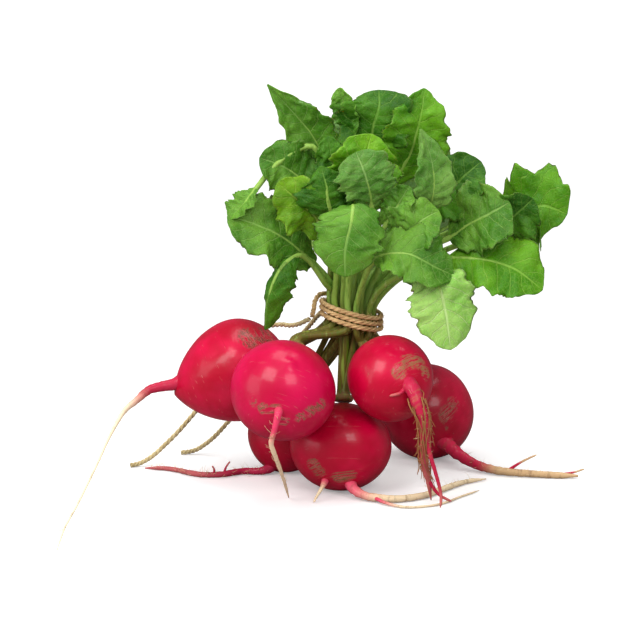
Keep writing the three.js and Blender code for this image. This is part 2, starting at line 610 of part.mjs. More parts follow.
// The origin is the middle of the footprint, without the loose ends of the twine
const footprint = new THREE.Box3();
for (const piece of lying.children) {
  if (!tails.includes(piece)) footprint.expandByObject(piece);
}
const middle = footprint.getCenter(new THREE.Vector3());
lying.position.set(-middle.x, -middle.y, 0);
bunch.updateMatrixWorld(true);

export default bunch;
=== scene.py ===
# A bunch of six radishes that stands on its low bulbs, tied with jute twine.
# Shapes are worked out in millimetres from the foot of radish 4, as in the part's source, and
# moved by BUNCH_PLACE into the shared frame, in metres, as their points are set.
import math
import random

import bmesh
import bpy
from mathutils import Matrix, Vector, noise


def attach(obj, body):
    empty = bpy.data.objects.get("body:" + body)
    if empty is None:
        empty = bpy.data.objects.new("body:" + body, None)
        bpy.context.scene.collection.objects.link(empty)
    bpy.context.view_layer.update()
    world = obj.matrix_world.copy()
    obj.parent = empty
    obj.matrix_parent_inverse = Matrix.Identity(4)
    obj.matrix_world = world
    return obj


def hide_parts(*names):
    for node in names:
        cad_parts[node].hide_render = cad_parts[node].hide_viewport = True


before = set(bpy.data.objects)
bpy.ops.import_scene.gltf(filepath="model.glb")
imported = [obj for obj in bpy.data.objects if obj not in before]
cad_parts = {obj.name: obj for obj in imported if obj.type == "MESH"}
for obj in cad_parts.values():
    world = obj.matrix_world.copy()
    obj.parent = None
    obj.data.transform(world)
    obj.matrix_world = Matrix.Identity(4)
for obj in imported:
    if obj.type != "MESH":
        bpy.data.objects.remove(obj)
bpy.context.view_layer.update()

MM = 0.001
BUNCH_PLACE = Vector((2.202, 6.696, 0))

# The tie, and the stalks that it holds in rows of slots
BUNDLE_CENTRE = Vector((4, 12, 67))
SLOT_SPACING = 3.35
OUTERMOST_SLOT = 2.65
CLEARANCE = 0.3
PETIOLE_RADIUS = 1.4
PETIOLE_RADIUS_BELOW_BLADE = 1.1
BUNDLE_RADIUS = OUTERMOST_SLOT * SLOT_SPACING + PETIOLE_RADIUS
TWINE_DIAMETER = 1.9
TWINE_TURNS = 3
TWINE_PITCH = 2.25
BAND_SLOPE = 0.3

# Leaf blades: heights in millimetres, depths as shares of the half width
BLADE_THICKNESS = 0.5
TIP_RADIUS = 0.35
WIDEST_AT = 0.55
BLUNTNESS = 0.6
TEETH = 5
TOOTH_DEPTH = 0.16
SMALL_TEETH_PER_TOOTH = 2.7
SMALL_TOOTH_DEPTH = 0.16
RAGGEDNESS = 0.05
FOLD_AT_RIB = 0.6
BLADE_WAVES = 2.3
WAVE_OFFSET = 1.9
EDGE_RUFFLES = 6.3
RUFFLE_DEPTH = 0.035
VEINS = 8
VEIN_SLANT = 1.5
VEIN_STAGGER = 0.25
QUILT_HEIGHT = 0.42
CRINKLE_HEIGHT = 1.5
FINE_CRINKLE_HEIGHT = 0.8

# Stalks and crowns
STALK_SWELL_AT_CROWN = 0.3
STALK_GROOVE = 0.22
STALK_RIDGES = 5
STALK_RIDGE_HEIGHT = 0.05
RIB_SUNK_IN_BLADE = 0.35
CROWN_HEIGHT = 3.2
CROWN_RADIUS = 3.8
CROWN_SIDES = 24
CROWN_RIBS = 7
CROWN_RIB_HEIGHT = 0.05
STALK_START_IN_CROWN = 1.4
STALK_RISE_FROM_CROWN = 4
TIE_REACH = 5
POINTS_BELOW_ROUTE = 4

# Finer than the part's solids: points along and across each shape
BLADE_ROWS = 56
BLADE_COLUMNS = 18
STALK_ROWS = 40
STALK_SIDES = 10
ROOT_ROWS_PER_POINT = 9
ROOT_SIDES = 14
BULB_SEGMENTS = 72
BULB_RINGS = 44

chance = random.Random(11)


# Camera: looks along +Y and a little down, as the photo does
CAMERA_TARGET = Vector((-10.8, 10, 67.3))
CAMERA_DISTANCE = 800
CAMERA_HEIGHT_ANGLE = math.radians(11)
SENSOR_WIDTH = 36
PHOTO_SIDE = 626
FOCAL_LENGTH_IN_PIXELS = 2078


def in_frame(point):
    return (Vector(point) + BUNCH_PLACE) * MM


camera = bpy.data.objects.new("camera", bpy.data.cameras.new("camera"))
bpy.context.scene.collection.objects.link(camera)
camera_step = Vector((0, -math.cos(CAMERA_HEIGHT_ANGLE), math.sin(CAMERA_HEIGHT_ANGLE)))
camera.location = in_frame(CAMERA_TARGET + camera_step * CAMERA_DISTANCE)
camera.rotation_euler = (-camera_step).to_track_quat("-Z", "Y").to_euler()
camera.data.sensor_width = SENSOR_WIDTH
camera.data.lens = SENSOR_WIDTH * FOCAL_LENGTH_IN_PIXELS / PHOTO_SIDE
camera.data.dof.use_dof = False
camera.data.clip_end = 60
bpy.context.scene.camera = camera


class Route:
    """A smooth line through points, with even weight on each span."""

    def __init__(self, points):
        self.points = [Vector(p) for p in points]
        self.spans = len(points) - 1

    def at(self, share):
        reach = min(max(share, 0), 1) * self.spans
        first = min(int(reach), self.spans - 1)
        t = reach - first
        p = self.points
        p1, p2 = p[first], p[first + 1]
        p0 = p[first - 1] if first > 0 else p1 * 2 - p2
        p3 = p[first + 2] if first + 2 <= self.spans else p2 * 2 - p1
        d0, d1, d2 = (max((b - a).length, 1e-6) ** 0.5 for a, b in ((p0, p1), (p1, p2), (p2, p3)))
        m1 = ((p1 - p0) / d0 - (p2 - p0) / (d0 + d1) + (p2 - p1) / d1) * d1
        m2 = ((p2 - p1) / d1 - (p3 - p1) / (d1 + d2) + (p3 - p2) / d2) * d1
        c2 = -3 * p1 + 3 * p2 - 2 * m1 - m2
        c3 = 2 * p1 - 2 * p2 + m1 + m2
        return p1 + m1 * t + c2 * t * t + c3 * t ** 3

    def way(self, share):
        step = 1e-4
        return (self.at(min(1, share + step)) - self.at(max(0, share - step))).normalized()


def carried(ways, start, facing):
    """Directions across a line that don't twist, from the one given at its start station."""

    def squared(across, way):
        return (across - way * across.dot(way)).normalized()

    across = [None] * len(ways)
    across[start] = squared(Vector(facing), ways[start])
    for i in range(start + 1, len(ways)):
        across[i] = squared(across[i - 1], ways[i])
    for i in range(start - 1, -1, -1):
        across[i] = squared(across[i + 1], ways[i])
    return across


def stations(route, rows, facing):
    """Places on a route at even steps, with the ways along it and across it there."""
    ways = [route.way(row / rows) for row in range(rows + 1)]
    return [route.at(row / rows) for row in range(rows + 1)], ways, carried(ways, 0, facing)


def outward(way, across, angle):
    """The direction out of a line at an angle round it."""
    return way.cross(across) * math.cos(angle) + across * math.sin(angle)


def lifted(place, least_height):
    """A place, or the one straight above it that is far enough off the surface."""
    return Vector((place.x, place.y, max(place.z, least_height)))


# A piece's points carry four values that its material reads: how far along and across the grown
# shape a point is, a tone, which marks scars and strands on a radish, and whether the point is
# on a leaf's under side or, on a radish, on a hair.
VALUES = ("along", "across", "tone", "under")


def new_mesh():
    mesh = bmesh.new()
    for name in VALUES:
        mesh.verts.layers.float.new(name)
    return mesh


def give(mesh, vert, values):
    for name, value in zip(VALUES, values):
        vert[mesh.verts.layers.float[name]] = value


def rolled(mesh, rows, around, where, material=0):
    """A grid rolled into a closed tube; where(row, k) gives a point in mm and its values."""
    made = bmesh.ops.create_grid(mesh, x_segments=around, y_segments=rows, size=1)["verts"]
    faces = {face for vert in made for face in vert.link_faces}
    for vert in made:
        k = round((vert.co.x + 1) / 2 * around) % around
        row = round((vert.co.y + 1) / 2 * rows)
        place, values = where(row, k)
        vert.co = in_frame(place)
        give(mesh, vert, values)
    for face in faces:
        face.material_index = material
        face.smooth = True
    bmesh.ops.remove_doubles(mesh, verts=made, dist=1e-8)
    rims = [edge for edge in mesh.edges if edge.is_boundary]
    caps = bmesh.ops.holes_fill(mesh, edges=rims, sides=0)["faces"]
    for face in caps:
        face.material_index = material


def finish_piece(mesh, name, materials, node):
    bmesh.ops.recalc_face_normals(mesh, faces=mesh.faces)
    data = bpy.data.meshes.new(name)
    mesh.to_mesh(data)
    mesh.free()
    for material in materials:
        data.materials.append(material)
    piece = bpy.data.objects.new(name, data)
    bpy.context.scene.collection.objects.link(piece)
    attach(piece, "root")
    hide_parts(node)
    return piece


# Shader helpers
def wire(tree, kind, values=None, **settings):
    """A shader node with its inputs linked or set."""
    made = tree.nodes.new("ShaderNode" + kind)
    for name, value in settings.items():
        setattr(made, name, value)
    for key, value in (values or {}).items():
        if isinstance(value, bpy.types.NodeSocket):
            tree.links.new(value, made.inputs[key])
        else:
            made.inputs[key].default_value = value
    return made


def reckon(tree, operation, *values):
    return wire(tree, "Math", dict(enumerate(values)), operation=operation).outputs[0]


def blend(tree, factor, first, second):
    made = wire(tree, "Mix", {0: factor, 6: first, 7: second}, data_type="RGBA")
    return made.outputs[2]


def fade(tree, value, low, high, to_low=0.0, to_high=1.0):
    values = {0: value, 1: low, 2: high, 3: to_low, 4: to_high}
    return wire(tree, "MapRange", values, interpolation_type="SMOOTHSTEP").outputs[0]


def speckle(tree, place, scale, detail=4.0, roughness=0.55):
    values = {"Vector": place, "Scale": scale, "Detail": detail, "Roughness": roughness}
    return wire(tree, "TexNoise", values).outputs["Fac"]


def drawn_out(tree, given, scale, along):
    """A pattern's place, drawn out along a grown shape so that streaks run round it."""
    push = wire(tree, "CombineXYZ", {0: reckon(tree, "MULTIPLY", given["Along"], along)})
    values = {0: given["Place"], 1: (scale, scale, scale), 2: push.outputs[0]}
    return wire(tree, "VectorMath", values, operation="MULTIPLY_ADD").outputs[0]


def new_group(name, inputs):
    tree = bpy.data.node_groups.new(name, "ShaderNodeTree")
    for label, kind, value in inputs:
        socket = tree.interface.new_socket(label, in_out="INPUT", socket_type="NodeSocket" + kind)
        if value is not None:
            socket.default_value = value
    for label, kind in (("Color", "Color"), ("Roughness", "Float"), ("Relief", "Float")):
        tree.interface.new_socket(label, in_out="OUTPUT", socket_type="NodeSocket" + kind)
    return tree, tree.nodes.new("NodeGroupInput").outputs, tree.nodes.new("NodeGroupOutput").inputs


def new_material(name, group, values, coat=0.0, subsurface=0.0, strength=0.5, distance=0.0004):
    """A material whose colour, roughness and relief come from a group fed by the point values."""
    material = bpy.data.materials.new(name)
    material.use_nodes = True
    tree = material.node_tree
    shader = tree.nodes["Principled BSDF"]
    looks = wire(tree, "Group", node_tree=group)
    place = wire(tree, "TexCoord").outputs["Object"]
    tree.links.new(place, looks.inputs["Place"])
    for label in VALUES:
        if label.title() in looks.inputs:
            own = wire(tree, "Attribute", attribute_name=label)
            tree.links.new(own.outputs["Fac"], looks.inputs[label.title()])
    for label, value in values.items():
        looks.inputs[label].default_value = value
    relief = {"Height": looks.outputs["Relief"], "Strength": strength, "Distance": distance}
    bump = wire(tree, "Bump", relief)
    tree.links.new(looks.outputs["Color"], shader.inputs["Base Color"])
    tree.links.new(looks.outputs["Roughness"], shader.inputs["Roughness"])
    tree.links.new(bump.outputs["Normal"], shader.inputs["Normal"])
    shader.inputs["Specular IOR Level"].default_value = 0.22
    shader.inputs["Coat Weight"].default_value = coat
    shader.inputs["Coat Roughness"].default_value = 0.12
    shader.inputs["Subsurface Weight"].default_value = subsurface
    shader.inputs["Subsurface Radius"].default_value = (0.6, 0.3, 0.2)
    shader.inputs["Subsurface Scale"].default_value = 0.002
    return material


def colour(red, green, blue):
    """A colour seen on a screen, from 0 to 255, as the renderer's linear values."""
    return tuple((value / 255) ** 2.2 for value in (red, green, blue)) + (1.0,)


def skin_group():
    tree, given, out = new_group(
        "radish_skin",
        [("Place", "Vector", None), ("Along", "Float", -0.5), ("Tone", "Float", 0.0),
         ("Under", "Float", 0.0), ("Hair", "Color", colour(222, 196, 150)),
         ("Skin", "Color", None), ("Deep", "Color", None),
         ("Root", "Color", None), ("Root End", "Color", None),
         ("Scar", "Color", colour(132, 84, 58)), ("Scar Rim", "Color", colour(238, 176, 160)),
         ("Wear", "Float", 0.5), ("Turning Pale", "Float", 0.35), ("Pale", "Float", 0.75)],
    )
    place = given["Place"]
    broad = speckle(tree, place, 42.0, 3.0)
    fine = speckle(tree, place, 900.0, 3.0)
    skin = blend(tree, fade(tree, broad, 0.38, 0.66), given["Deep"], given["Skin"])
    # Streaks that run round the bulb, and short pale dashes among them
    ringed = drawn_out(tree, given, 70.0, 60.0)
    streaks = speckle(tree, ringed, 1.0, 3.0)
    skin = blend(tree, fade(tree, streaks, 0.52, 0.72, 0.0, 0.4), skin, given["Deep"])
    dashes = wire(tree, "TexVoronoi", {"Vector": ringed, "Scale": 3.0}).outputs["Distance"]
    dash = reckon(tree, "MULTIPLY", fade(tree, dashes, 0.2, 0.08), fade(tree, streaks, 0.5, 0.62))
    skin = blend(tree, reckon(tree, "MULTIPLY", dash, 0.35), skin, given["Scar Rim"])
    # Corky cracks with pale rims, where the skin is worn
    patch = speckle(tree, place, 95.0, 7.0, 0.7)
    worn = reckon(tree, "MULTIPLY", fade(tree, patch, 0.62, 0.7), given["Wear"])
    placed = reckon(tree, "MULTIPLY", given["Tone"], fade(tree, patch, 0.32, 0.5))
    worn = reckon(tree, "MAXIMUM", worn, placed)
    bends = speckle(tree, drawn_out(tree, given, 170.0, 30.0), 1.0, 5.0, 0.7)
    off_crack = reckon(tree, "ABSOLUTE", reckon(tree, "SUBTRACT", bends, 0.5))
    rim = reckon(tree, "MULTIPLY", fade(tree, off_crack, 0.075, 0.025), fade(tree, worn, 0.1, 0.9))
    crack = reckon(tree, "MULTIPLY", fade(tree, off_crack, 0.034, 0.014), fade(tree, worn, 0.15, 0.5))
    skin = blend(tree, reckon(tree, "MULTIPLY", rim, 0.35), skin, given["Scar Rim"])
    skin = blend(tree, crack, skin, given["Scar"])
    scar = reckon(tree, "MAXIMUM", rim, crack)
    # Root, from the bulb's colour to its own and on to the colour of its thin end
    on_root = fade(tree, given["Along"], 0.0, 0.12)
    paler = fade(tree, given["Along"], given["Turning Pale"], given["Pale"])
    root = blend(tree, paler, given["Root"], given["Root End"])
    root = blend(tree, fade(tree, bends, 0.5, 0.7, 0.0, 0.5), root, given["Scar"])
    # Strands carry a tone, and hairs are marked as under
    root = blend(tree, given["Tone"], root, given["Scar"])
    root = blend(tree, given["Under"], root, given["Hair"])
    tree.links.new(blend(tree, on_root, skin, root), out["Color"])
    dull = reckon(tree, "MAXIMUM", scar, reckon(tree, "MULTIPLY", on_root, 0.8))
    tree.links.new(reckon(tree, "MULTIPLY_ADD", dull, 0.35, 0.34), out["Roughness"])
    rough = reckon(tree, "MULTIPLY", fine, reckon(tree, "MULTIPLY_ADD", dull, 0.9, 0.1))
    rough = reckon(tree, "MULTIPLY_ADD", crack, -1.2, rough)
    uneven = speckle(tree, place, 110.0, 2.0)
    tree.links.new(reckon(tree, "MULTIPLY_ADD", uneven, 1.4, rough), out["Relief"])
    return tree


def leaf_group():
    tree, given, out = new_group(
        "leaf_surface",
        [("Place", "Vector", None), ("Along", "Float", 0.5), ("Across", "Float", 0.0),
         ("Tone", "Float", 0.5), ("Under", "Float", 0.0), ("Blade", "Color", None),
         ("Shade", "Color", None), ("Vein", "Color", None),
         ("Under Side", "Color", colour(124, 164, 96)), ("Stalk", "Color", colour(140, 176, 78)),
         # The low stalk colour is partly the stalks' own brown and partly painted shade of the bunch's
         # inside
         ("Stalk Low And Shade", "Color", colour(108, 94, 44)), ("Stalk Base", "Color", colour(150, 120, 76))],
    )
    place = given["Place"]
    broad = speckle(tree, place, 60.0, 3.0)
    fine = speckle(tree, place, 1400.0, 3.0)
    # Side veins slant from the midrib to the edge; a little noise keeps them from being straight
    drift = reckon(tree, "MULTIPLY_ADD", speckle(tree, place, 130.0, 2.0), 0.5, -0.25)
    width = reckon(tree, "ABSOLUTE", given["Across"])
    slant = reckon(tree, "MULTIPLY", width, -VEIN_SLANT)
    steps = reckon(tree, "MULTIPLY_ADD", given["Along"], float(VEINS), slant)
    steps = reckon(tree, "ADD", steps, drift)
    steps = reckon(tree, "ADD", steps, reckon(tree, "MULTIPLY", given["Across"], VEIN_STAGGER))
    off = reckon(tree, "PINGPONG", steps, 0.5)
    side_vein = reckon(tree, "MULTIPLY", fade(tree, off, 0.055, 0.015), fade(tree, width, 1.0, 0.7))
    mid_vein = fade(tree, width, 0.06, 0.02)
    net = wire(tree, "TexVoronoi", {"Vector": place, "Scale": 620.0},
               feature="DISTANCE_TO_EDGE").outputs["Distance"]
    fine_vein = fade(tree, net, 0.1, 0.02, 0.0, 0.35)
    vein = reckon(tree, "MAXIMUM", reckon(tree, "MAXIMUM", side_vein, mid_vein), fine_vein)
    blade = blend(tree, fade(tree, broad, 0.35, 0.65), given["Shade"], given["Blade"])
    blade = blend(tree, reckon(tree, "MULTIPLY", vein, 0.5), blade, given["Vein"])
    edge = fade(tree, width, 0.93, 1.0, 0.0, 0.45)
    blade = blend(tree, edge, blade, given["Vein"])
    under = blend(tree, vein, given["Under Side"], given["Vein"])
    blade = blend(tree, given["Under"], blade, under)
    # A leaf of a low tone is duller and darker than one of a high tone
    blade = blend(tree, fade(tree, given["Tone"], 0.0, 1.0, 0.22, 0.0), blade, given["Shade"])
    # Stalk points have Along below zero, from -1 at the crown to 0 where the blade starts
    # Between the crown and the tie the stalks take the dark low colour: partly their own brown tint, partly
    # painted shade
    above_base = fade(tree, given["Along"], -0.98, -0.85)
    stalk = blend(tree, above_base, given["Stalk Base"], given["Stalk Low And Shade"])
    stalk = blend(tree, fade(tree, given["Along"], -0.7, -0.35), stalk, given["Stalk"])
    upright = wire(tree, "VectorMath", {0: place, 1: (700.0, 700.0, 60.0)},
                   operation="MULTIPLY").outputs[0]
    streak = speckle(tree, upright, 1.0, 2.0)
    stalk = blend(tree, fade(tree, streak, 0.5, 0.7, 0.0, 0.45), stalk, given["Vein"])
    stalk = blend(tree, fade(tree, streak, 0.5, 0.3, 0.0, 0.5), stalk, given["Shade"])
    on_stalk = fade(tree, given["Along"], 0.0, -0.02)
    tree.links.new(blend(tree, on_stalk, blade, stalk), out["Color"])
    tree.links.new(reckon(tree, "MULTIPLY_ADD", broad, 0.25, 0.32), out["Roughness"])
    relief = reckon(tree, "MULTIPLY_ADD", vein, -0.6, reckon(tree, "MULTIPLY", fine, 0.25))
    tree.links.new(relief, out["Relief"])
    return tree


def jute_group():
    tree, given, out = new_group(
        "jute",
        [("Place", "Vector", None), ("Along", "Float", 0.0), ("Across", "Float", 0.0),
         ("Fibre", "Color", None), ("Gap And Shade", "Color", None)],
    )
    # Fibres run slanting round each ply
    slant = reckon(tree, "MULTIPLY", given["Across"], 6.0)
    turns = reckon(tree, "MULTIPLY_ADD", given["Along"], 55.0, slant)
    line = wire(tree, "CombineXYZ", {0: turns, 1: given["Across"]}).outputs[0]
    strand = speckle(tree, line, 5.0, 4.0)
    patch = speckle(tree, given["Place"], 260.0, 3.0)
    tone = reckon(tree, "MULTIPLY_ADD", patch, 0.4, reckon(tree, "MULTIPLY", strand, 0.8))
    # The gap colour between the fibres is partly darker jute and partly painted shade in the grooves
    tree.links.new(blend(tree, fade(tree, tone, 0.35, 0.75), given["Gap And Shade"], given["Fibre"]), out["Color"])
    tree.links.new(reckon(tree, "MULTIPLY_ADD", strand, 0.2, 0.7), out["Roughness"])
    tree.links.new(strand, out["Relief"])
    return tree


# Twine: three plies laid round each other along a line, with loose fibres standing off them
PLIES = 3
PLY_RADIUS = 0.55
PLY_OFFSET = 0.45
PLY_PITCH = 7.5
PLY_SIDES = 8
PLY_STEP = 0.6
PLY_LIFT = 0.05
FIBRE_RADIUS = 0.045
FIBRE_DEPTH = 0.38
FIBRE_LENGTHS = (0.8, 2.4)
FIBRE_BOW = 0.2
FIBRE_LIFT = 0.1
FIBRE_TIP_LIFT = 0.2
TAIL_FIBRES = 110
BAND_FIBRES = 420
LENGTH_STEPS = 400
THREAD_TAPER = 0.6


def line_length(points):
    return sum((b - a).length for a, b in zip(points, points[1:]))


def twine(mesh, points, fibres):
    route = Route(points)
    length = line_length([route.at(i / LENGTH_STEPS) for i in range(LENGTH_STEPS + 1)])
    rows = max(8, round(length / PLY_STEP))
    places, ways, across = stations(route, rows, (0.1, 0.2, 1))

    for ply in range(PLIES):
        def where(row, k):
            share = row / rows
            twist = 2 * math.pi * (ply / PLIES + share * length / PLY_PITCH)
            angle = 2 * math.pi * k / PLY_SIDES + twist
            place = places[row] + outward(ways[row], across[row], twist) * PLY_OFFSET
            place += outward(ways[row], across[row], angle) * PLY_RADIUS
            return lifted(place, PLY_LIFT), (share, k / PLY_SIDES, 0, 0)

        rolled(mesh, rows, PLY_SIDES, where)
    for _ in range(fibres):
        row = chance.randrange(1, rows - 1)
        angle = chance.uniform(0, 2 * math.pi)
        base = places[row] + outward(ways[row], across[row], angle) * TWINE_DIAMETER * FIBRE_DEPTH
        out = outward(ways[row], across[row], angle + chance.uniform(-0.7, 0.7))
        reach = chance.uniform(*FIBRE_LENGTHS)
        lean = ways[row] * chance.choice((-1, 1)) * chance.uniform(0.3, 1.4)
        tip = lifted(base + (out + lean).normalized() * reach, FIBRE_TIP_LIFT)
        base = lifted(base, FIBRE_LIFT)
        middle = base.lerp(tip, 0.5) + out * FIBRE_BOW
        thread(mesh, [base, middle, tip], FIBRE_RADIUS, (row / rows, 0.5, 0, 0))


def thread(mesh, points, radius, values, rows=3, sides=3):
    """A hair or fibre that thins to its end."""
    places, ways, across = stations(Route(points), rows, (0.3, 0.5, 0.8))

    def where(row, k):
        thin = radius * (1 - THREAD_TAPER * row / rows)
        out = outward(ways[row], across[row], 2 * math.pi * k / sides)
        return places[row] + out * thin, values

    rolled(mesh, rows, sides, where)


LONG_TAIL = [
    [-12.2, 9.2, 65.1], [-15.8, 11.8, 62.8], [-19.3, 16, 61.2], [-23, 21.7, 60.4],
    [-27, 27.4, 58.9], [-31, 32.5, 56.6], [-34.8, 36.1, 52.9], [-38.5, 39, 48],
    [-42.2, 40.8, 42.4], [-46, 42, 36.5], [-50, 41.8, 31.1], [-54, 41, 26],
    [-58, 40.4, 21.1], [-62, 39.5, 16.5], [-66, 38.1, 12.2], [-70, 36.5, 8.5],
    [-73.5, 35.1, 5.4], [-77, 33.5, 3], [-80.4, 32.3, 1.5], [-84, 31, 1],
]
SHORT_TAIL = [
    [-7.9, 15, 66.3], [-8.8, 19, 64.6], [-10.2, 22, 62.3], [-12, 25, 59.5],
    [-14.4, 28.4, 56], [-17, 31.5, 52], [-20.4, 34.7, 47.6], [-24, 37.5, 43],
    [-27.5, 40.4, 38.1], [-31, 43, 33], [-35, 45.5, 27.7], [-39, 47.5, 22.5],
    [-42.8, 49, 17.5], [-46.5, 50, 13], [-49.5, 50.7, 9.5], [-52.5, 51, 6.5],
    [-55.5, 51.2, 4.1], [-58.5, 51.3, 2.2], [-61.7, 51.2, 1.3], [-65, 51, 1],
]
BAND_END = [[-7.6, 18.4, 73.3], [-10, 14.8, 71.2], [-10.6, 11.2, 68.4], [-11.2, 9.2, 66.1]]
BAND_START_ANGLE = 0.94 * math.pi
BAND_POINTS_PER_TURN = 16
BAND_POINTS = TWINE_TURNS * BAND_POINTS_PER_TURN - 3

jute = jute_group()
# Each twine's gap colour holds painted shade between the fibres as well as darker jute
jute_gold = new_material("jute_gold", jute, {"Fibre": colour(244, 208, 150), "Gap And Shade": colour(154, 106, 62)},
                         strength=0.7)
jute_pale = new_material("jute_pale", jute, {"Fibre": colour(230, 214, 164), "Gap And Shade": colour(150, 124, 74)},
                         strength=0.7)

for tail_name, tail_points in (("long", LONG_TAIL), ("short", SHORT_TAIL)):
    tail_mesh = new_mesh()
    twine(tail_mesh, tail_points, TAIL_FIBRES)
    tail = finish_piece(tail_mesh, f"tail_{tail_name}", [jute_pale], f"twine_tail_{tail_name}")

band_radius = BUNDLE_RADIUS + CLEARANCE + TWINE_DIAMETER / 2
band_points = []
for i in range(BAND_POINTS + 1):
    turns = i / BAND_POINTS_PER_TURN
    angle = BAND_START_ANGLE + 2 * math.pi * turns
    x = band_radius * math.cos(angle)
    y = band_radius * math.sin(angle)
    z = TWINE_PITCH * (turns - TWINE_TURNS / 2) - BAND_SLOPE * x
    band_points.append(BUNDLE_CENTRE + Vector((x, y, z)))
band_mesh = new_mesh()
twine(band_mesh, band_points + BAND_END, BAND_FIBRES)
finish_piece(band_mesh, "tie", [jute_gold], "twine_band")


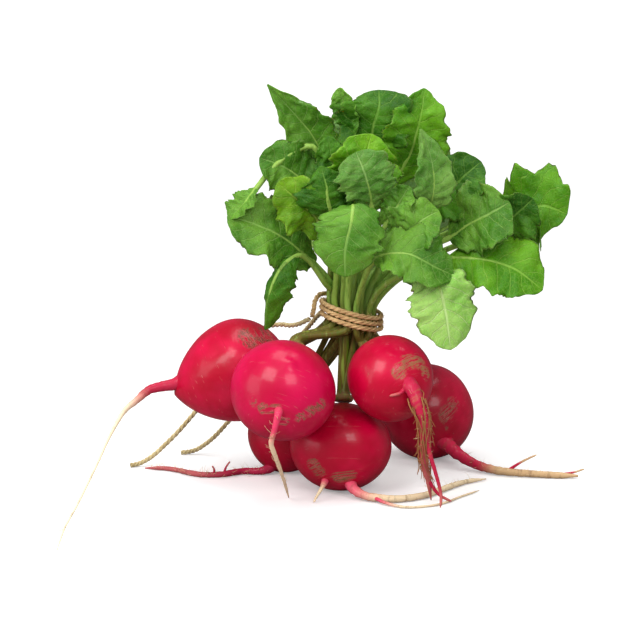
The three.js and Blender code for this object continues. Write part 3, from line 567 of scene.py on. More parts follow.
# Radishes: middle of the bulb, axis from root to crown, half width, reach to crown and root,
# taper, turn of its unevenness, looks, worn places [x, y, z, radius], nubs and dents
# [x, y, z, radius, height], and roots as lists of points with the root's radius at each point
# as the fourth number
RADISHES = [
    dict(centre=[-39.5, 17.2, 43.4], axis=[0.93, 0.12, 0.34], radius=20.3, crown_reach=19.5, root_reach=27,
         taper=1.5, turn=0.4, slot="skin_deep",
         looks={"Skin": colour(206, 16, 66), "Deep": colour(172, 5, 42), "Root": colour(182, 34, 66),
                "Root End": colour(236, 224, 188), "Scar": colour(110, 60, 46), "Wear": 0.2,
                "Turning Pale": 0.2, "Pale": 0.46}, hairs=16,
         worn=[[-34, 4, 60, 7], [-28, 10, 60, 6]],
         nubs=[[-47, 2, 55, 6, -0.5], [-52, 1, 45, 5, 0.4], [-42, -1, 50, 4, -0.4], [-46, -2, 38, 6, -0.5]],
         roots=[
             [[-58, 14.6, 40, 5], [-65, 12.4, 38.6, 2.4], [-74.3, 9.5, 37, 1.7], [-78.7, 6, 33.9, 1.35],
              [-83, 1, 31, 1.05], [-85.5, -8, 28, 0.75], [-88, -22, 24, 0.52], [-91, -38, 18, 0.45],
              [-95.4, -60, 10.4, 0.42], [-98.5, -71, 5.5, 0.4], [-100, -81, 0.6, 0.36]],
         ]),
    dict(centre=[-22, -18.6, 43.6], axis=[0.25, 0.75, 0.6], radius=19.4, crown_reach=18.6, root_reach=19.6,
         taper=1, turn=1.7, slot="skin_bright",
         looks={"Skin": colour(208, 6, 74), "Deep": colour(182, 4, 56), "Root": colour(216, 54, 92),
                "Root End": colour(236, 206, 170), "Wear": 0.35, "Turning Pale": 0.3, "Pale": 0.5}, hairs=22,
         worn=[[-32, -33, 43, 3.2], [-28.5, -35, 41, 3.2], [-24.5, -37, 40, 3.6], [-22, -37.4, 36, 3.4],
               [-15, -36.5, 37, 3], [-11.5, -35, 39, 3.2], [-7.5, -32, 41, 3]],
         nubs=[[-19.3, -32.2, 56.6, 3, 0.8], [-18.6, -30.4, 59.2, 3.4, -0.6], [-15, -31, 56, 5, -0.5]],
         roots=[
             [[-23, -33, 42, 2.2], [-23.4, -38, 39.6, 1.5], [-24.7, -39.8, 34, 1.1],
              [-26.1, -38.5, 28.4, 0.95], [-24.9, -35, 23, 0.85], [-23.2, -30, 16.7, 0.75],
              [-21.5, -22, 8.7, 0.6], [-20, -14, 0.6, 0.5]],
         ]),
    dict(centre=[-21.5, 27.5, 14.8], axis=[0.42, 0.1, 0.9], radius=15, crown_reach=14.5, root_reach=15.6,
         taper=1.1, turn=2.6, slot="skin_dark",
         looks={"Skin": colour(190, 10, 56), "Deep": colour(156, 4, 38), "Root": colour(176, 34, 70),
                "Root End": colour(178, 88, 88), "Scar": colour(120, 64, 50), "Wear": 0.3}, hairs=100,
         worn=[],
         roots=[
             [[-24, 24, 5, 2.4], [-28.5, 20.5, 2.4, 1.9], [-33, 20, 1.6, 1.4], [-38, 21, 1.4, 1.3],
              [-46, 17, 1.3, 1.2], [-52, 16, 1.2, 1.1], [-58, 18, 1.2, 1.1], [-64, 23, 1.1, 1.0],
              [-70, 26.5, 1.0, 0.9], [-78, 27.5, 0.8, 0.7]],
             [[-46, 17, 1.3, 0.6], [-45, 18, 4, 0.4], [-43.5, 18.5, 6, 0.35]],
             [[-50, 16, 1.3, 0.6], [-49.6, 15.5, 3.4, 0.4], [-50.5, 15.5, 5, 0.35]],
         ]),
    dict(centre=[0, 0, 16.9], axis=[0.05, 0.4, 0.91], radius=19.3, crown_reach=17, root_reach=17,
         taper=1, turn=0.9, slot="skin_deep",
         looks={"Skin": colour(200, 6, 60), "Deep": colour(170, 3, 44), "Root": colour(224, 78, 108),
                "Root End": colour(232, 208, 170), "Scar": colour(126, 92, 56), "Wear": 0.3,
                "Turning Pale": 0.1, "Pale": 0.4}, hairs=24,
         worn=[[-11, -15, 13, 4], [-9, -16, 9, 5], [-5, -17.5, 6, 4.5], [-1, -17, 8, 4.5],
               [3, -17, 9, 4], [1, -17, 4, 3.5]],
         roots=[
             [[2.5, -9, 8, 3], [4.5, -14.5, 4.2, 2.0], [9, -17.5, 2.3, 1.6], [14, -19, 1.9, 1.5],
              [20, -19.5, 1.6, 1.4], [30, -15, 1.5, 1.3], [37, -7.5, 1.4, 1.2], [43, 0, 1.3, 1.1],
              [49.5, 7, 1.1, 0.9], [57, 11.5, 0.8, 0.6]],
             [[12, -18.5, 2, 0.8], [17, -24, 1.2, 0.6], [24, -27, 0.6, 0.5], [36, -23.5, 0.6, 0.45],
              [46, -12, 0.6, 0.4], [53, -4, 0.5, 0.35]],
             [[-6, -12, 7, 1.6], [-7.6, -17.2, 5, 0.7], [-9.5, -18.6, 2.2, 0.5], [-10.5, -20.5, 0.6, 0.4]],
         ]),
    dict(centre=[18.3, -10, 46.2], axis=[-0.48, 0.76, 0.44], radius=16.4, crown_reach=16, root_reach=16.6,
         taper=1, turn=3.8, slot="skin_bright",
         looks={"Skin": colour(206, 5, 62), "Deep": colour(176, 3, 44), "Root": colour(190, 30, 68),
                "Root End": colour(196, 100, 98), "Scar": colour(156, 112, 66), "Wear": 0.4,
                "Turning Pale": 0.45, "Pale": 0.9},
         worn=[[25, -23, 56, 4.5], [29, -20, 55, 4], [30.5, -19, 50, 3.5], [21, -25, 52, 3.5]], strands=34,
         nubs=[[25.2, -22.5, 54.3, 3.4, -0.9], [30, -17, 56.5, 3, -0.7], [21.5, -24.5, 50.5, 3, -0.6]],
         roots=[
             [[22, -19, 47, 4.6], [25.6, -25.5, 46.2, 3.0], [27.8, -28.8, 41, 2.4], [30, -29, 35.5, 2.2],
              [30.6, -27.6, 28.4, 2.0], [30.7, -25.4, 21, 1.8], [30.9, -23.8, 16.3, 1.6],
              [32.6, -20.5, 8.8, 1.0], [33.9, -17.4, 0.6, 0.6]],
             [[30.4, -27.4, 29, 1.3], [33, -27.6, 20, 0.8], [35.8, -26.6, 10.5, 0.7], [37, -26.4, 5, 0.6],
              [36.8, -27.6, 0.6, 0.5]],
             [[32.4, -20.8, 9.5, 0.8], [36.6, -20.4, 3.6, 0.6], [41.5, -19.5, 0.6, 0.45]],
             [[24, -24, 47, 1.4], [21.6, -26.6, 44.4, 0.7], [17.5, -27.6, 43.4, 0.45]],
         ]),
    dict(centre=[35.5, 49, 18.9], axis=[-0.5, 0.05, 0.86], radius=19.2, crown_reach=19.4, root_reach=19.6,
         taper=1, turn=5.1, slot="skin_dark",
         looks={"Skin": colour(186, 14, 56), "Deep": colour(150, 6, 38), "Root": colour(192, 30, 68),
                "Root End": colour(206, 170, 126), "Scar": colour(118, 74, 52), "Wear": 0.4,
                "Turning Pale": 0.42, "Pale": 0.62},
         worn=[[46, 33, 26, 4], [42, 32, 22, 4]],
         roots=[
             [[38.5, 40, 13.5, 6], [42.5, 33.5, 9.6, 3.2], [47, 30, 6.2, 2.4], [53, 26, 3.2, 1.9],
              [58.5, 22, 2.2, 1.7], [64, 19, 1.9, 1.6], [74, 16.5, 1.6, 1.4], [84, 15, 1.4, 1.3],
              [93.4, 14, 1.3, 1.1]],
             [[66, 18.4, 2, 0.8], [71, 17, 6, 0.45], [77, 15.5, 9.5, 0.35]],
             [[86, 14.8, 1.6, 0.7], [92, 15.5, 2.4, 0.4], [96, 16, 3.6, 0.35]],
         ]),
]

# Small unevenness of bulbs and roots, as shares of their size
BULB_BULGES = (0.014, 0.009)
BULB_RINGS_RAISED = 0.008
BULB_LUMPS = 0.004
ROOT_LUMPS = (0.14, 0.08)
THINNEST_ROOT = 0.2

# Root hairs, and the coarser fibrous strands
HAIRS_PER_ROOT = 70
HAIR_RADIUS = 0.1
HAIR_LENGTHS = (1.5, 5)
HAIR_BEND = 0.8
HAIR_LIFT = 0.15
STRAND_RADIUS = 0.26
STRAND_POINTS = 7
STRAND_END_LIFT = 1.6
STRAND_LIFT = 0.3


def unevenness(direction, turn):
    around = math.atan2(direction.z, direction.x)
    girth = math.sqrt(max(0, 1 - direction.y ** 2))
    bulge = BULB_BULGES[0] * math.sin(2 * around + turn)
    bulge += BULB_BULGES[1] * math.sin(3 * around - 2 * turn)
    return 1 + girth * bulge + BULB_RINGS_RAISED * math.sin(4 * direction.y + turn)


def raised_by(radish, place):
    """Height of the nubs and depth of the dents at a place on a bulb."""
    total = 0
    for x, y, z, reach, height in radish.get("nubs", []):
        near = max(0, 1 - ((place - Vector((x, y, z))).length / reach) ** 2)
        total += height * near ** 2
    return total


def worn_at(radish, place):
    worn = [max(0, 1 - (place - Vector(w[:3])).length / w[3]) for w in radish["worn"]]
    return min(1, 2 * max(worn, default=0))


def add_bulb(mesh, radish):
    turned = Vector((0, 1, 0)).rotation_difference(Vector(radish["axis"]).normalized())
    made = bmesh.ops.create_uvsphere(mesh, u_segments=BULB_SEGMENTS, v_segments=BULB_RINGS, radius=1)
    for vert in made["verts"]:
        direction = vert.co.normalized()
        to_root = direction.z < 0
        round_axis = math.sqrt(max(0, 1 - direction.z ** 2))
        spread = radish["radius"] * round_axis ** (radish["taper"] - 1 if to_root else 0)
        reach = radish["root_reach" if to_root else "crown_reach"]
        point = Vector((direction.x * spread, direction.z * reach, direction.y * spread))
        point *= unevenness(point.normalized(), radish["turn"])
        point *= 1 + BULB_LUMPS * noise.noise(point * 0.16)
        place = turned @ point + Vector(radish["centre"])
        place += (turned @ point).normalized() * raised_by(radish, place)
        vert.co = in_frame(lifted(place, 0))
        give(mesh, vert, (-0.5 - 0.5 * direction.z, 0, worn_at(radish, place), 0))
        for face in vert.link_faces:
            face.smooth = True


def add_root(mesh, points):
    route = Route([point[:3] for point in points])
    widths = Route([[point[3], 0, 0] for point in points])
    rows = ROOT_ROWS_PER_POINT * (len(points) - 1)
    places, ways, across = stations(route, rows, (0.3, 0.2, 0.9))

    def where(row, k):
        share = row / rows
        centre = places[row]
        out = outward(ways[row], across[row], 2 * math.pi * k / ROOT_SIDES)
        lumps = 1 + ROOT_LUMPS[0] * noise.noise(centre * 0.7 + out * 0.6)
        lumps += ROOT_LUMPS[1] * noise.noise(centre * 2.2)
        rounded_end = min(1, 0.4 + (1 - share) * 8)
        radius = max(widths.at(share).x, THINNEST_ROOT) * lumps * rounded_end
        return lifted(centre + out * radius, 0), (0.02 + 0.98 * share, 0, 0, 0)

    rolled(mesh, rows, ROOT_SIDES, where)
    return route


def any_way(lowest, highest):
    """A random way to go, whose rise lies between two values."""
    return Vector([chance.uniform(-1, 1), chance.uniform(-1, 1), chance.uniform(lowest, highest)])


def add_hairs(mesh, route, count):
    for _ in range(count):
        share = chance.uniform(0.15, 0.97)
        base = route.at(share)
        out = any_way(-0.4, 1).normalized()
        reach = chance.uniform(*HAIR_LENGTHS)
        bend = any_way(-0.5, 0.5) * HAIR_BEND
        tip = lifted(base + out * reach, HAIR_LIFT)
        middle = lifted(base.lerp(tip, 0.5) + bend, HAIR_LIFT)
        thread(mesh, [base, middle, tip], HAIR_RADIUS, (0.55 + 0.4 * share, 0, 0, 1), rows=4)


def add_strands(mesh, route, points, count):
    """Fibrous side roots that wind along a thick root and leave it now and then."""
    widths = Route([[point[3], 0, 0] for point in points])
    for _ in range(count):
        share = chance.uniform(0.08, 0.6)
        end = min(0.96, share + chance.uniform(0.2, 0.45))
        angle = chance.uniform(0, 2 * math.pi)
        turn = chance.uniform(-2.5, 2.5)
        line = []
        for i in range(STRAND_POINTS):
            along = i / (STRAND_POINTS - 1)
            here = share + (end - share) * along
            way = route.way(here)
            across = way.cross(Vector((0.2, 1, 0.1))).normalized().cross(way)
            lift = widths.at(here).x + chance.uniform(0.1, 0.9) + (STRAND_END_LIFT if along == 1 else 0)
            place = route.at(here) + outward(way, across, angle + turn * along) * lift
            line.append(lifted(place, STRAND_LIFT))
        thread(mesh, line, STRAND_RADIUS, (0.5, 0, chance.uniform(0.75, 1), 0), rows=24, sides=6)


skin = skin_group()
for number, radish in enumerate(RADISHES, 1):
    mesh = new_mesh()
    add_bulb(mesh, radish)
    for order, points in enumerate(radish["roots"]):
        route = add_root(mesh, points)
        if order == 0:
            add_hairs(mesh, route, radish.get("hairs", HAIRS_PER_ROOT))
            add_strands(mesh, route, points, radish.get("strands", 0))
    material = new_material(f"skin_{number}", skin, radish["looks"], coat=0.2, subsurface=0.05,
                            distance=0.0005)
    finish_piece(mesh, f"bulb_{number}", [material], f"radish_{number}")


# Leaf looks by name: the colours of the blade, of its shade and of its veins
LEAF_LOOKS = {
    "mid": [(104, 154, 50), (66, 118, 28), (150, 190, 98)],
    "grey": [(100, 148, 46), (62, 112, 26), (142, 182, 90)],
    "pale": [(112, 154, 66), (74, 124, 42), (152, 188, 108)],
    "dark": [(74, 128, 28), (42, 90, 14), (120, 166, 68)],
    "bright": [(98, 156, 26), (64, 122, 14), (148, 194, 78)],
    "lime": [(118, 174, 32), (82, 142, 18), (164, 208, 86)],
    "olive": [(108, 154, 24), (70, 118, 12), (156, 188, 74)],
    "yellow": [(158, 202, 100), (122, 176, 70), (206, 228, 156)],
}

# Leaves: radish, slot in the tie, route point where the blade starts, half width, facing, fold,
# wave, looks, the route above the tie, and for some the widest place, bluntness or tooth depth
LEAVES = [
    (1, [-5, -1], 1, 14.5, [-0.2, -0.75, 0.6], 0.15, 0.2, "grey",
     [[-4, 8, 79], [-10, 6, 87], [-16, 2, 93], [-23, -2, 99], [-33, -4, 104], [-43, -4, 107]], {}),
    (1, [-4, 0], 2, 9.5, [-0.5, -0.8, 0.3], -0.9, 0.12, "dark",
     [[-6, 3, 80], [-12, 0, 89], [-16, -3, 92], [-22, -7, 89], [-27, -8, 79], [-29, -1, 63]], {}),
    (1, [-5, 1], 4, 7, [-0.6, -0.6, 0.5], 0.3, 0.15, "mid",
     [[-4, 11, 87], [-5, 10, 115], [-11, 7, 132], [-24, 5, 126], [-32, 1, 117], [-37, -2, 111],
      [-42, -4, 106]], {}),
    (1, [-3, 1], 2, 12, [-0.3, -0.8, 0.5], 0.25, 0.25, "grey",
     [[-2, 11, 84], [-7, 11, 103], [-11, 9, 113], [-16, 7, 120], [-23, 5, 125], [-31, 4, 128]], {}),
    (2, [-1, -3], 1, 15, [-0.1, -1, 0.1], -0.3, 0.06, "mid",
     [[3, -2, 89], [3, -9, 106], [4, -17, 113], [3, -24, 107], [1, -25, 98], [1, -22, 87]],
     dict(widest=0.64, blunt=0.5)),
    (2, [-4, -2], 1, 12, [-0.3, -0.9, 0.3], 0.2, 0.3, "olive",
     [[-2, 3, 85], [-6, 0, 97], [-9, -3, 105], [-13, -6, 110], [-18, -8, 115], [-24, -7, 120]], {}),
    (2, [-2, -2], 2, 15, [0, -1, 0.1], -0.45, 0.1, "dark",
     [[1, 2, 85], [-2, -3, 98], [-3, -8, 106], [-5, -12, 113], [-6, -14, 120], [-8, -13, 127]],
     dict(widest=0.4, blunt=0.9)),
    (2, [0, -2], 2, 12, [0.1, -1, -0.1], 0.15, 0.06, "pale",
     [[6, 1, 89], [10, -5, 103], [11, -8, 111], [10, -12, 118], [8, -14, 125], [5, -12, 132]],
     dict(widest=0.6, blunt=0.5)),
    (2, [-3, -1], 2, 7, [-0.2, -1, 0.1], 0.5, 0.1, "dark",
     [[1, 7, 87], [0, 8, 106], [-1, 8, 114], [-3, 6, 122], [-4, 5, 129], [-5, 6, 136]], {}),
    (5, [4, -2], 2, 14, [0.15, -1, 0.1], -0.2, 0.1, "yellow",
     [[16, 0, 80], [25, -9, 87], [30, -15, 90], [35, -21, 85], [38, -24, 74], [40, -24, 60]], {}),
    (5, [1, -3], 1, 13, [-0.1, -0.75, 0.65], 0.2, 0.12, "grey",
     [[9, -6, 85], [12, -14, 92], [17, -18, 95], [25, -20, 95], [33, -21, 91], [41, -19, 87]], {}),
    (5, [2, -2], 2, 7, [-0.3, -0.9, 0.2], 0.3, 0.1, "mid",
     [[9, 2, 85], [12, -1, 96], [16, -5, 103], [19, -8, 109], [22, -9, 114], [25, -9, 119]], {}),
    (5, [5, -1], 2, 16, [0.1, -0.75, 0.65], 0.1, 0.12, "bright",
     [[21, 9, 80], [33, 4, 87], [40, 0, 90], [51, -6, 91], [64, -10, 88], [75, -11, 80]],
     dict(blunt=0.7)),
    (5, [3, -1], 1, 12, [-0.1, -0.9, 0.4], 0.3, 0.15, "mid",
     [[14, 5, 85], [18, -3, 94], [22, -9, 99], [26, -12, 103], [30, -13, 107], [36, -11, 110]], {}),
    (4, [-1, -1], 1, 15, [0, -1, 0.2], 0.15, 0.15, "lime",
     [[4, 7, 87], [6, 4, 104], [7, 1, 114], [8, -2, 122], [9, -5, 130], [11, -5, 138]], {}),
    (4, [1, -1], 2, 8.5, [0.1, -1, 0], 0.35, 0.06, "pale",
     [[11, 8, 88], [24, 2, 102], [32, -5, 110], [34, -9, 118], [33, -9, 129], [29, -7, 140]],
     dict(widest=0.4, blunt=1)),
    (4, [0, 0], 1, 16, [0, -0.9, 0.4], 0.2, 0.2, "dark",
     [[6, 11, 87], [9, 12, 119], [11, 10, 132], [12, 7, 140], [14, 6, 147], [14, 10, 153]], {}),
    (4, [-2, 0], 2, 6, [-0.4, -0.9, 0], 0.5, 0.1, "mid",
     [[4, 11, 87], [5, 11, 122], [4, 10, 134], [3, 9, 142], [1, 8, 148], [-1, 8, 154]], {}),
    (4, [2, 0], 1, 14, [0.1, -1, 0.1], 0.2, 0.1, "bright",
     [[10, 12, 87], [20, 11, 117], [26, 8, 129], [28, 5, 137], [30, 4, 146], [31, 6, 154]],
     dict(widest=0.45, blunt=0.8)),
    (6, [4, 0], 2, 16, [-0.2, -0.85, 0.5], 0.15, 0.15, "grey",
     [[20, 13, 82], [33, 10, 93], [41, 6, 97], [48, 1, 103], [56, -3, 108], [63, -3, 112]], {}),
    (6, [5, 1], 2, 12, [0.3, -0.9, 0.2], 0.3, 0.15, "dark",
     [[24, 16, 81], [42, 14, 92], [55, 10, 96], [61, 5, 102], [67, 2, 108], [72, 1, 113]], {}),
    (6, [3, 1], 2, 18, [-0.1, -0.95, 0.25], 0.15, 0.2, "bright",
     [[20, 18, 84], [42, 21, 97], [59, 18, 101], [68, 13, 106], [77, 10, 109], [86, 8, 106]],
     dict(tooth=0.26)),
    (6, [1, 1], 1, 14, [-0.1, -0.9, 0.3], 0.3, 0.12, "dark",
     [[12, 15, 87], [28, 15, 105], [36, 12, 111], [42, 9, 116], [47, 8, 121], [53, 9, 126]], {}),
    (6, [4, 2], 1, 16, [0.2, 0.6, 0.8], 0.2, 0.2, "mid",
     [[17, 22, 82], [29, 34, 90], [38, 41, 94], [45, 46, 97], [52, 48, 101], [60, 46, 105]], {}),
    (6, [2, 2], 1, 15, [0.3, 0.8, 0.6], 0.15, 0.15, "dark",
     [[12, 24, 80], [20, 36, 83], [27, 44, 83], [32, 51, 80], [37, 55, 74], [41, 55, 66]], {}),
    (3, [-1, 1], 2, 12, [-0.3, -0.9, 0.4], 0.6, 0.06, "mid",
     [[2, 16, 86], [-2, 18, 108], [-6, 18, 124], [-11, 16, 135], [-19, 13, 145], [-28, 10, 155]],
     dict(widest=0.36, blunt=1.1)),
    (3, [-2, 2], 1, 16, [-0.2, 0.9, 0.3], 0.2, 0.18, "bright",
     [[1, 20, 86], [-2, 28, 107], [-5, 33, 117], [-7, 36, 125], [-10, 37, 132], [-13, 35, 139]], {}),
    (3, [-4, 2], 1, 16, [-0.2, 0.6, 0.8], 0.2, 0.2, "grey",
     [[-3, 20, 82], [-12, 32, 92], [-18, 38, 97], [-23, 42, 100], [-29, 44, 102], [-37, 43, 104]], {}),
    (3, [0, 2], 1, 16, [0, 0.95, 0.2], 0.15, 0.15, "dark",
     [[4, 20, 86], [7, 25, 111], [8, 28, 122], [9, 31, 131], [10, 32, 139], [11, 31, 146]], {}),
    (3, [-1, 3], 1, 16, [0, 0.9, 0.5], -0.15, 0.12, "mid",
     [[4, 24, 82], [5, 38, 91], [7, 46, 93], [9, 53, 90], [10, 57, 83], [11, 57, 75]], {}),
    (3, [1, 3], 1, 16, [0.2, 0.9, 0.3], 0.2, 0.18, "bright",
     [[8, 22, 85], [19, 30, 106], [25, 34, 116], [29, 36, 122], [33, 37, 128], [37, 34, 135]], {}),
]


def crown_place(radish, height):
    axis = Vector(radish["axis"]).normalized()
    return Vector(radish["centre"]) + axis * (radish["crown_reach"] + height)


def leaf_points(radish, slot, route):
    axis = Vector(radish["axis"]).normalized()
    x = BUNDLE_CENTRE.x + slot[0] * SLOT_SPACING / 2
    y = BUNDLE_CENTRE.y + slot[1] * SLOT_SPACING * math.sqrt(3) / 2
    drop = -BAND_SLOPE * (x - BUNDLE_CENTRE.x)
    spread = Vector((slot[0] * 0.5, slot[1] * 0.7, 0))
    spread -= axis * spread.dot(axis)
    if spread.length > CROWN_RADIUS - PETIOLE_RADIUS:
        spread = spread.normalized() * (CROWN_RADIUS - PETIOLE_RADIUS)
    start = crown_place(radish, 2 * CLEARANCE + STALK_START_IN_CROWN) + spread
    z = BUNDLE_CENTRE.z + drop
    return [start, start + axis * STALK_RISE_FROM_CROWN + spread * 0.15,
            Vector((x, y, z - TIE_REACH)), Vector((x, y, z + TIE_REACH)),
            *[Vector(point) for point in route]]


def half_width(half, share, side, shape):
    swell = math.log(0.5) / math.log(shape.get("widest", WIDEST_AT))
    full = half * max(0, math.sin(math.pi * share ** swell)) ** shape.get("blunt", BLUNTNESS)
    tooth = 0.5 - 0.5 * side * math.cos(2 * math.pi * TEETH * share)
    uneven = noise.noise(Vector((share * 4.1, side * 2.5, half)))
    small_teeth = TEETH * (SMALL_TEETH_PER_TOOTH + 0.5 * uneven)
    small_tooth = abs((share * small_teeth + 0.3 * side) % 1 - 0.5)
    ragged = 1 + RAGGEDNESS * noise.noise(Vector((share * 19, side * 5.5, half)))
    toothed = (1 - shape.get("tooth", TOOTH_DEPTH) * tooth) * (1 - SMALL_TOOTH_DEPTH * small_tooth)
    return full * ragged * toothed


def add_leaf(mesh, radish, leaf, material):
    _, slot, blade_from, half, face, fold, wave, _, route_points, shape = leaf
    points = leaf_points(radish, slot, route_points)
    route = Route(points)
    blade_start = (POINTS_BELOW_ROUTE + blade_from) / route.spans
    tone = chance.uniform(0, 1)

    # Stalk, and the midrib that it runs into under the blade
    rows = STALK_ROWS + BLADE_ROWS
    shares = [blade_start * i / STALK_ROWS for i in range(STALK_ROWS)]
    shares += [blade_start + (1 - blade_start) * i / BLADE_ROWS for i in range(BLADE_ROWS + 1)]
    ways = [route.way(share) for share in shares]
    facing = carried(ways, STALK_ROWS + BLADE_ROWS // 2, face)

    def stalk_at(row, k):
        on_blade = max(0, (row - STALK_ROWS) / BLADE_ROWS)
        grown = min(1, row / STALK_ROWS)
        radius = PETIOLE_RADIUS + (PETIOLE_RADIUS_BELOW_BLADE - PETIOLE_RADIUS) * grown
        radius *= 1 + STALK_SWELL_AT_CROWN * max(0, 1 - grown * 4)
        radius += (TIP_RADIUS * 0.7 - radius) * on_blade
        angle = 2 * math.pi * k / STALK_SIDES
        groove = 1 - STALK_GROOVE * max(0, math.sin(angle)) ** 4
        ridge = 1 + STALK_RIDGE_HEIGHT * math.cos(STALK_RIDGES * angle)
        side = ways[row].cross(facing[row])
        out = (side * math.cos(angle) + facing[row] * math.sin(angle) * groove) * radius * ridge
        sunk = facing[row] * (-RIB_SUNK_IN_BLADE * radius * min(1, on_blade * 8))
        along = -1 + grown if row < STALK_ROWS else -0.03
        return route.at(shares[row]) + out + sunk, (along, 0, tone, 0)

    rolled(mesh, rows, STALK_SIDES, stalk_at, material)

    # Blade: a flat grid rolled shut at its edges, so that it has an upper and an under side
    def blade_at(row, k):
        share = row / BLADE_ROWS
        upper = k <= BLADE_COLUMNS
        across = -1 + 2 * (k if upper else 2 * BLADE_COLUMNS - k) / BLADE_COLUMNS
        sign = (across > 0) - (across < 0)
        wide = abs(across)
        reach = wide * half_width(half, share, sign, shape)
        angle = fold * (FOLD_AT_RIB + (1 - FOLD_AT_RIB) * wide)
        calm = math.sin(math.pi * min(1, share * 1.05)) ** 0.5
        waving = math.sin(2 * math.pi * BLADE_WAVES * share + WAVE_OFFSET * sign + slot[0])
        ruffling = math.sin(2 * math.pi * EDGE_RUFFLES * share + 2.4 * sign + slot[1])
        # The blade swells a little between its side veins
        step = (share * VEINS - VEIN_SLANT * wide + VEIN_STAGGER * across) % 1
        quilt = QUILT_HEIGHT * math.sin(math.pi * step) * min(1, wide * 5) * (1 - wide ** 3)
        spot = Vector((share * 9, across * 3, slot[0] + 3.7 * slot[1]))
        crinkle = CRINKLE_HEIGHT * noise.noise(spot) + FINE_CRINKLE_HEIGHT * noise.noise(spot * 2.3)
        waves = wave * half * wide ** 1.6 * waving + RUFFLE_DEPTH * half * wide ** 3 * ruffling
        up = reach * math.sin(angle) + (waves + quilt + crinkle * min(1, wide * 3)) * calm
        out = sign * reach * math.cos(angle) + across * TIP_RADIUS * (2 - share)
        thick = BLADE_THICKNESS / 2 * (1 - wide ** 8) * (1 if upper else -1)
        here = STALK_ROWS + row
        side = ways[here].cross(facing[here])
        tilt = sign * angle
        place = route.at(shares[here]) + side * (out - math.sin(tilt) * thick)
        place += facing[here] * (up + math.cos(tilt) * thick)
        return place, (share, across, tone, 0 if upper else 1)

    rolled(mesh, BLADE_ROWS, 2 * BLADE_COLUMNS, blade_at, material)


def add_crown(mesh, radish):
    axis = Vector(radish["axis"]).normalized()
    foot = crown_place(radish, 2 * CLEARANCE)
    profile = [(0.2, 0), (CROWN_RADIUS - 0.6, 0), (CROWN_RADIUS, 0.9), (CROWN_RADIUS - 0.3, 1.9),
               (CROWN_RADIUS - 0.8, CROWN_HEIGHT - 0.6), (0.2, CROWN_HEIGHT)]
    across = axis.orthogonal().normalized()
    side = axis.cross(across)

    def where(row, k):
        radius, height = profile[row]
        angle = 2 * math.pi * k / CROWN_SIDES
        ribs = 1 + CROWN_RIB_HEIGHT * math.sin(CROWN_RIBS * angle)
        out = (across * math.cos(angle) + side * math.sin(angle)) * radius * ribs
        return foot + axis * height + out, (-1, 0, 0.5, 0)

    rolled(mesh, len(profile) - 1, CROWN_SIDES, where)


leaf_surface = leaf_group()
leaf_materials = []
for look_name, colours in LEAF_LOOKS.items():
    looks = {label: colour(*own) for label, own in zip(("Blade", "Shade", "Vein"), colours)}
    leaf_materials.append(new_material(f"leaf_{look_name}", leaf_surface, looks, subsurface=0.08,
                                       strength=1.0, distance=0.0005))
look_names = list(LEAF_LOOKS)
for number, radish in enumerate(RADISHES, 1):
    mesh = new_mesh()
    add_crown(mesh, radish)
    for leaf in LEAVES:
        if leaf[0] == number:
            add_leaf(mesh, radish, leaf, look_names.index(leaf[7]))
    finish_piece(mesh, f"tuft_{number}", leaf_materials, f"leaves_{number}")


# Floor and light, in metres
FLOOR_SIDE = 30
FLOOR_SEEN = ((0.91, 0.91, 0.91, 1), (0.94, 0.94, 0.94, 1))
FLOOR_MIRRORED = (0.12, 0.12, 0.12, 1)
FLOOR_BOUNCED = (0.44, 0.43, 0.43, 1)
GLOW_STARTS_AT = 0.2
GLOW_FULL_AT = 1.6
GLOW_NEAR = 0.24
GLOW_FAR = 0.75
ROOM_LIGHT = 0.62
ROOM_LIGHT_NOT_MIRRORED = 0.5
LAMP_AIM = Vector((0, 0, 0.06))
# Each lamp's name, place, side and power in watts
LAMPS = [
    ("key", (-0.5, -0.6, 0.75), 0.5, 6.0),
    ("fill", (0.3, -0.8, 0.6), 0.4, 3.2),
    ("side", (-0.9, -0.35, 0.25), 0.6, 2.6),
    ("top", (0.05, 0.1, 0.95), 0.6, 4.4),
]


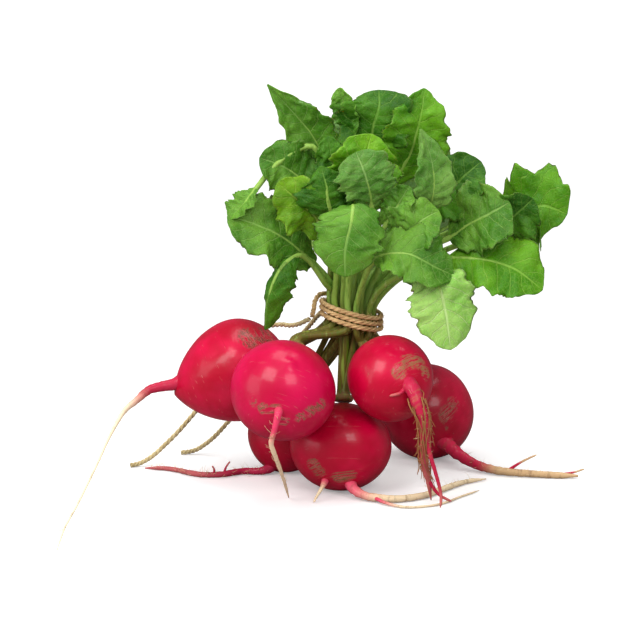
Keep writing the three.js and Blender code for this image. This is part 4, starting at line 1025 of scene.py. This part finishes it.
def floor_material():
    material = bpy.data.materials.new("floor")
    material.use_nodes = True
    tree = material.node_tree
    shader = tree.nodes["Principled BSDF"]
    place = wire(tree, "TexCoord").outputs["Object"]
    tint = blend(tree, speckle(tree, place, 2.0, 2.0), *FLOOR_SEEN)
    # The camera sees a bright surface; what the bunch mirrors and gathers from it is duller
    ray = wire(tree, "LightPath").outputs
    seen = ray["Is Camera Ray"]
    unseen = blend(tree, ray["Is Glossy Ray"], FLOOR_BOUNCED, FLOOR_MIRRORED)
    tree.links.new(blend(tree, seen, unseen, tint), shader.inputs["Base Color"])
    # Far from the lamps the surface glows more, so it stays white up to the top of the view
    away = wire(tree, "VectorMath", {0: place}, operation="LENGTH").outputs["Value"]
    glow = fade(tree, away, GLOW_STARTS_AT, GLOW_FULL_AT, GLOW_NEAR, GLOW_FAR)
    tree.links.new(reckon(tree, "MULTIPLY", seen, glow), shader.inputs["Emission Strength"])
    shader.inputs["Emission Color"].default_value = (1, 1, 1, 1)
    shader.inputs["Roughness"].default_value = 0.3
    shader.inputs["Specular IOR Level"].default_value = 0.25
    return material


floor_mesh = bmesh.new()
bmesh.ops.create_grid(floor_mesh, x_segments=1, y_segments=1, size=FLOOR_SIDE / 2)
floor_data = bpy.data.meshes.new("floor")
floor_mesh.to_mesh(floor_data)
floor_mesh.free()
floor_data.materials.append(floor_material())
floor = bpy.data.objects.new("floor", floor_data)
bpy.context.scene.collection.objects.link(floor)

world = bpy.data.worlds.new("studio")
bpy.context.scene.world = world
world.use_nodes = True
studio = world.node_tree.nodes["Background"]
studio.inputs["Color"].default_value = (1, 1, 1, 1)
# The room round the softboxes is dim, so shiny skins mirror little of it
mirrored = wire(world.node_tree, "LightPath").outputs["Is Glossy Ray"]
strength = reckon(world.node_tree, "MULTIPLY_ADD", mirrored, -ROOM_LIGHT_NOT_MIRRORED, ROOM_LIGHT)
world.node_tree.links.new(strength, studio.inputs["Strength"])

for lamp_name, lamp_place, lamp_side, lamp_power in LAMPS:
    lamp = bpy.data.objects.new(lamp_name, bpy.data.lights.new(lamp_name, "AREA"))
    lamp.data.size = lamp_side
    lamp.data.energy = lamp_power
    lamp.location = lamp_place
    lamp.rotation_euler = (LAMP_AIM - Vector(lamp_place)).to_track_quat("-Z", "Y").to_euler()
    bpy.context.scene.collection.objects.link(lamp)

bpy.context.scene.view_settings.view_transform = "Standard"
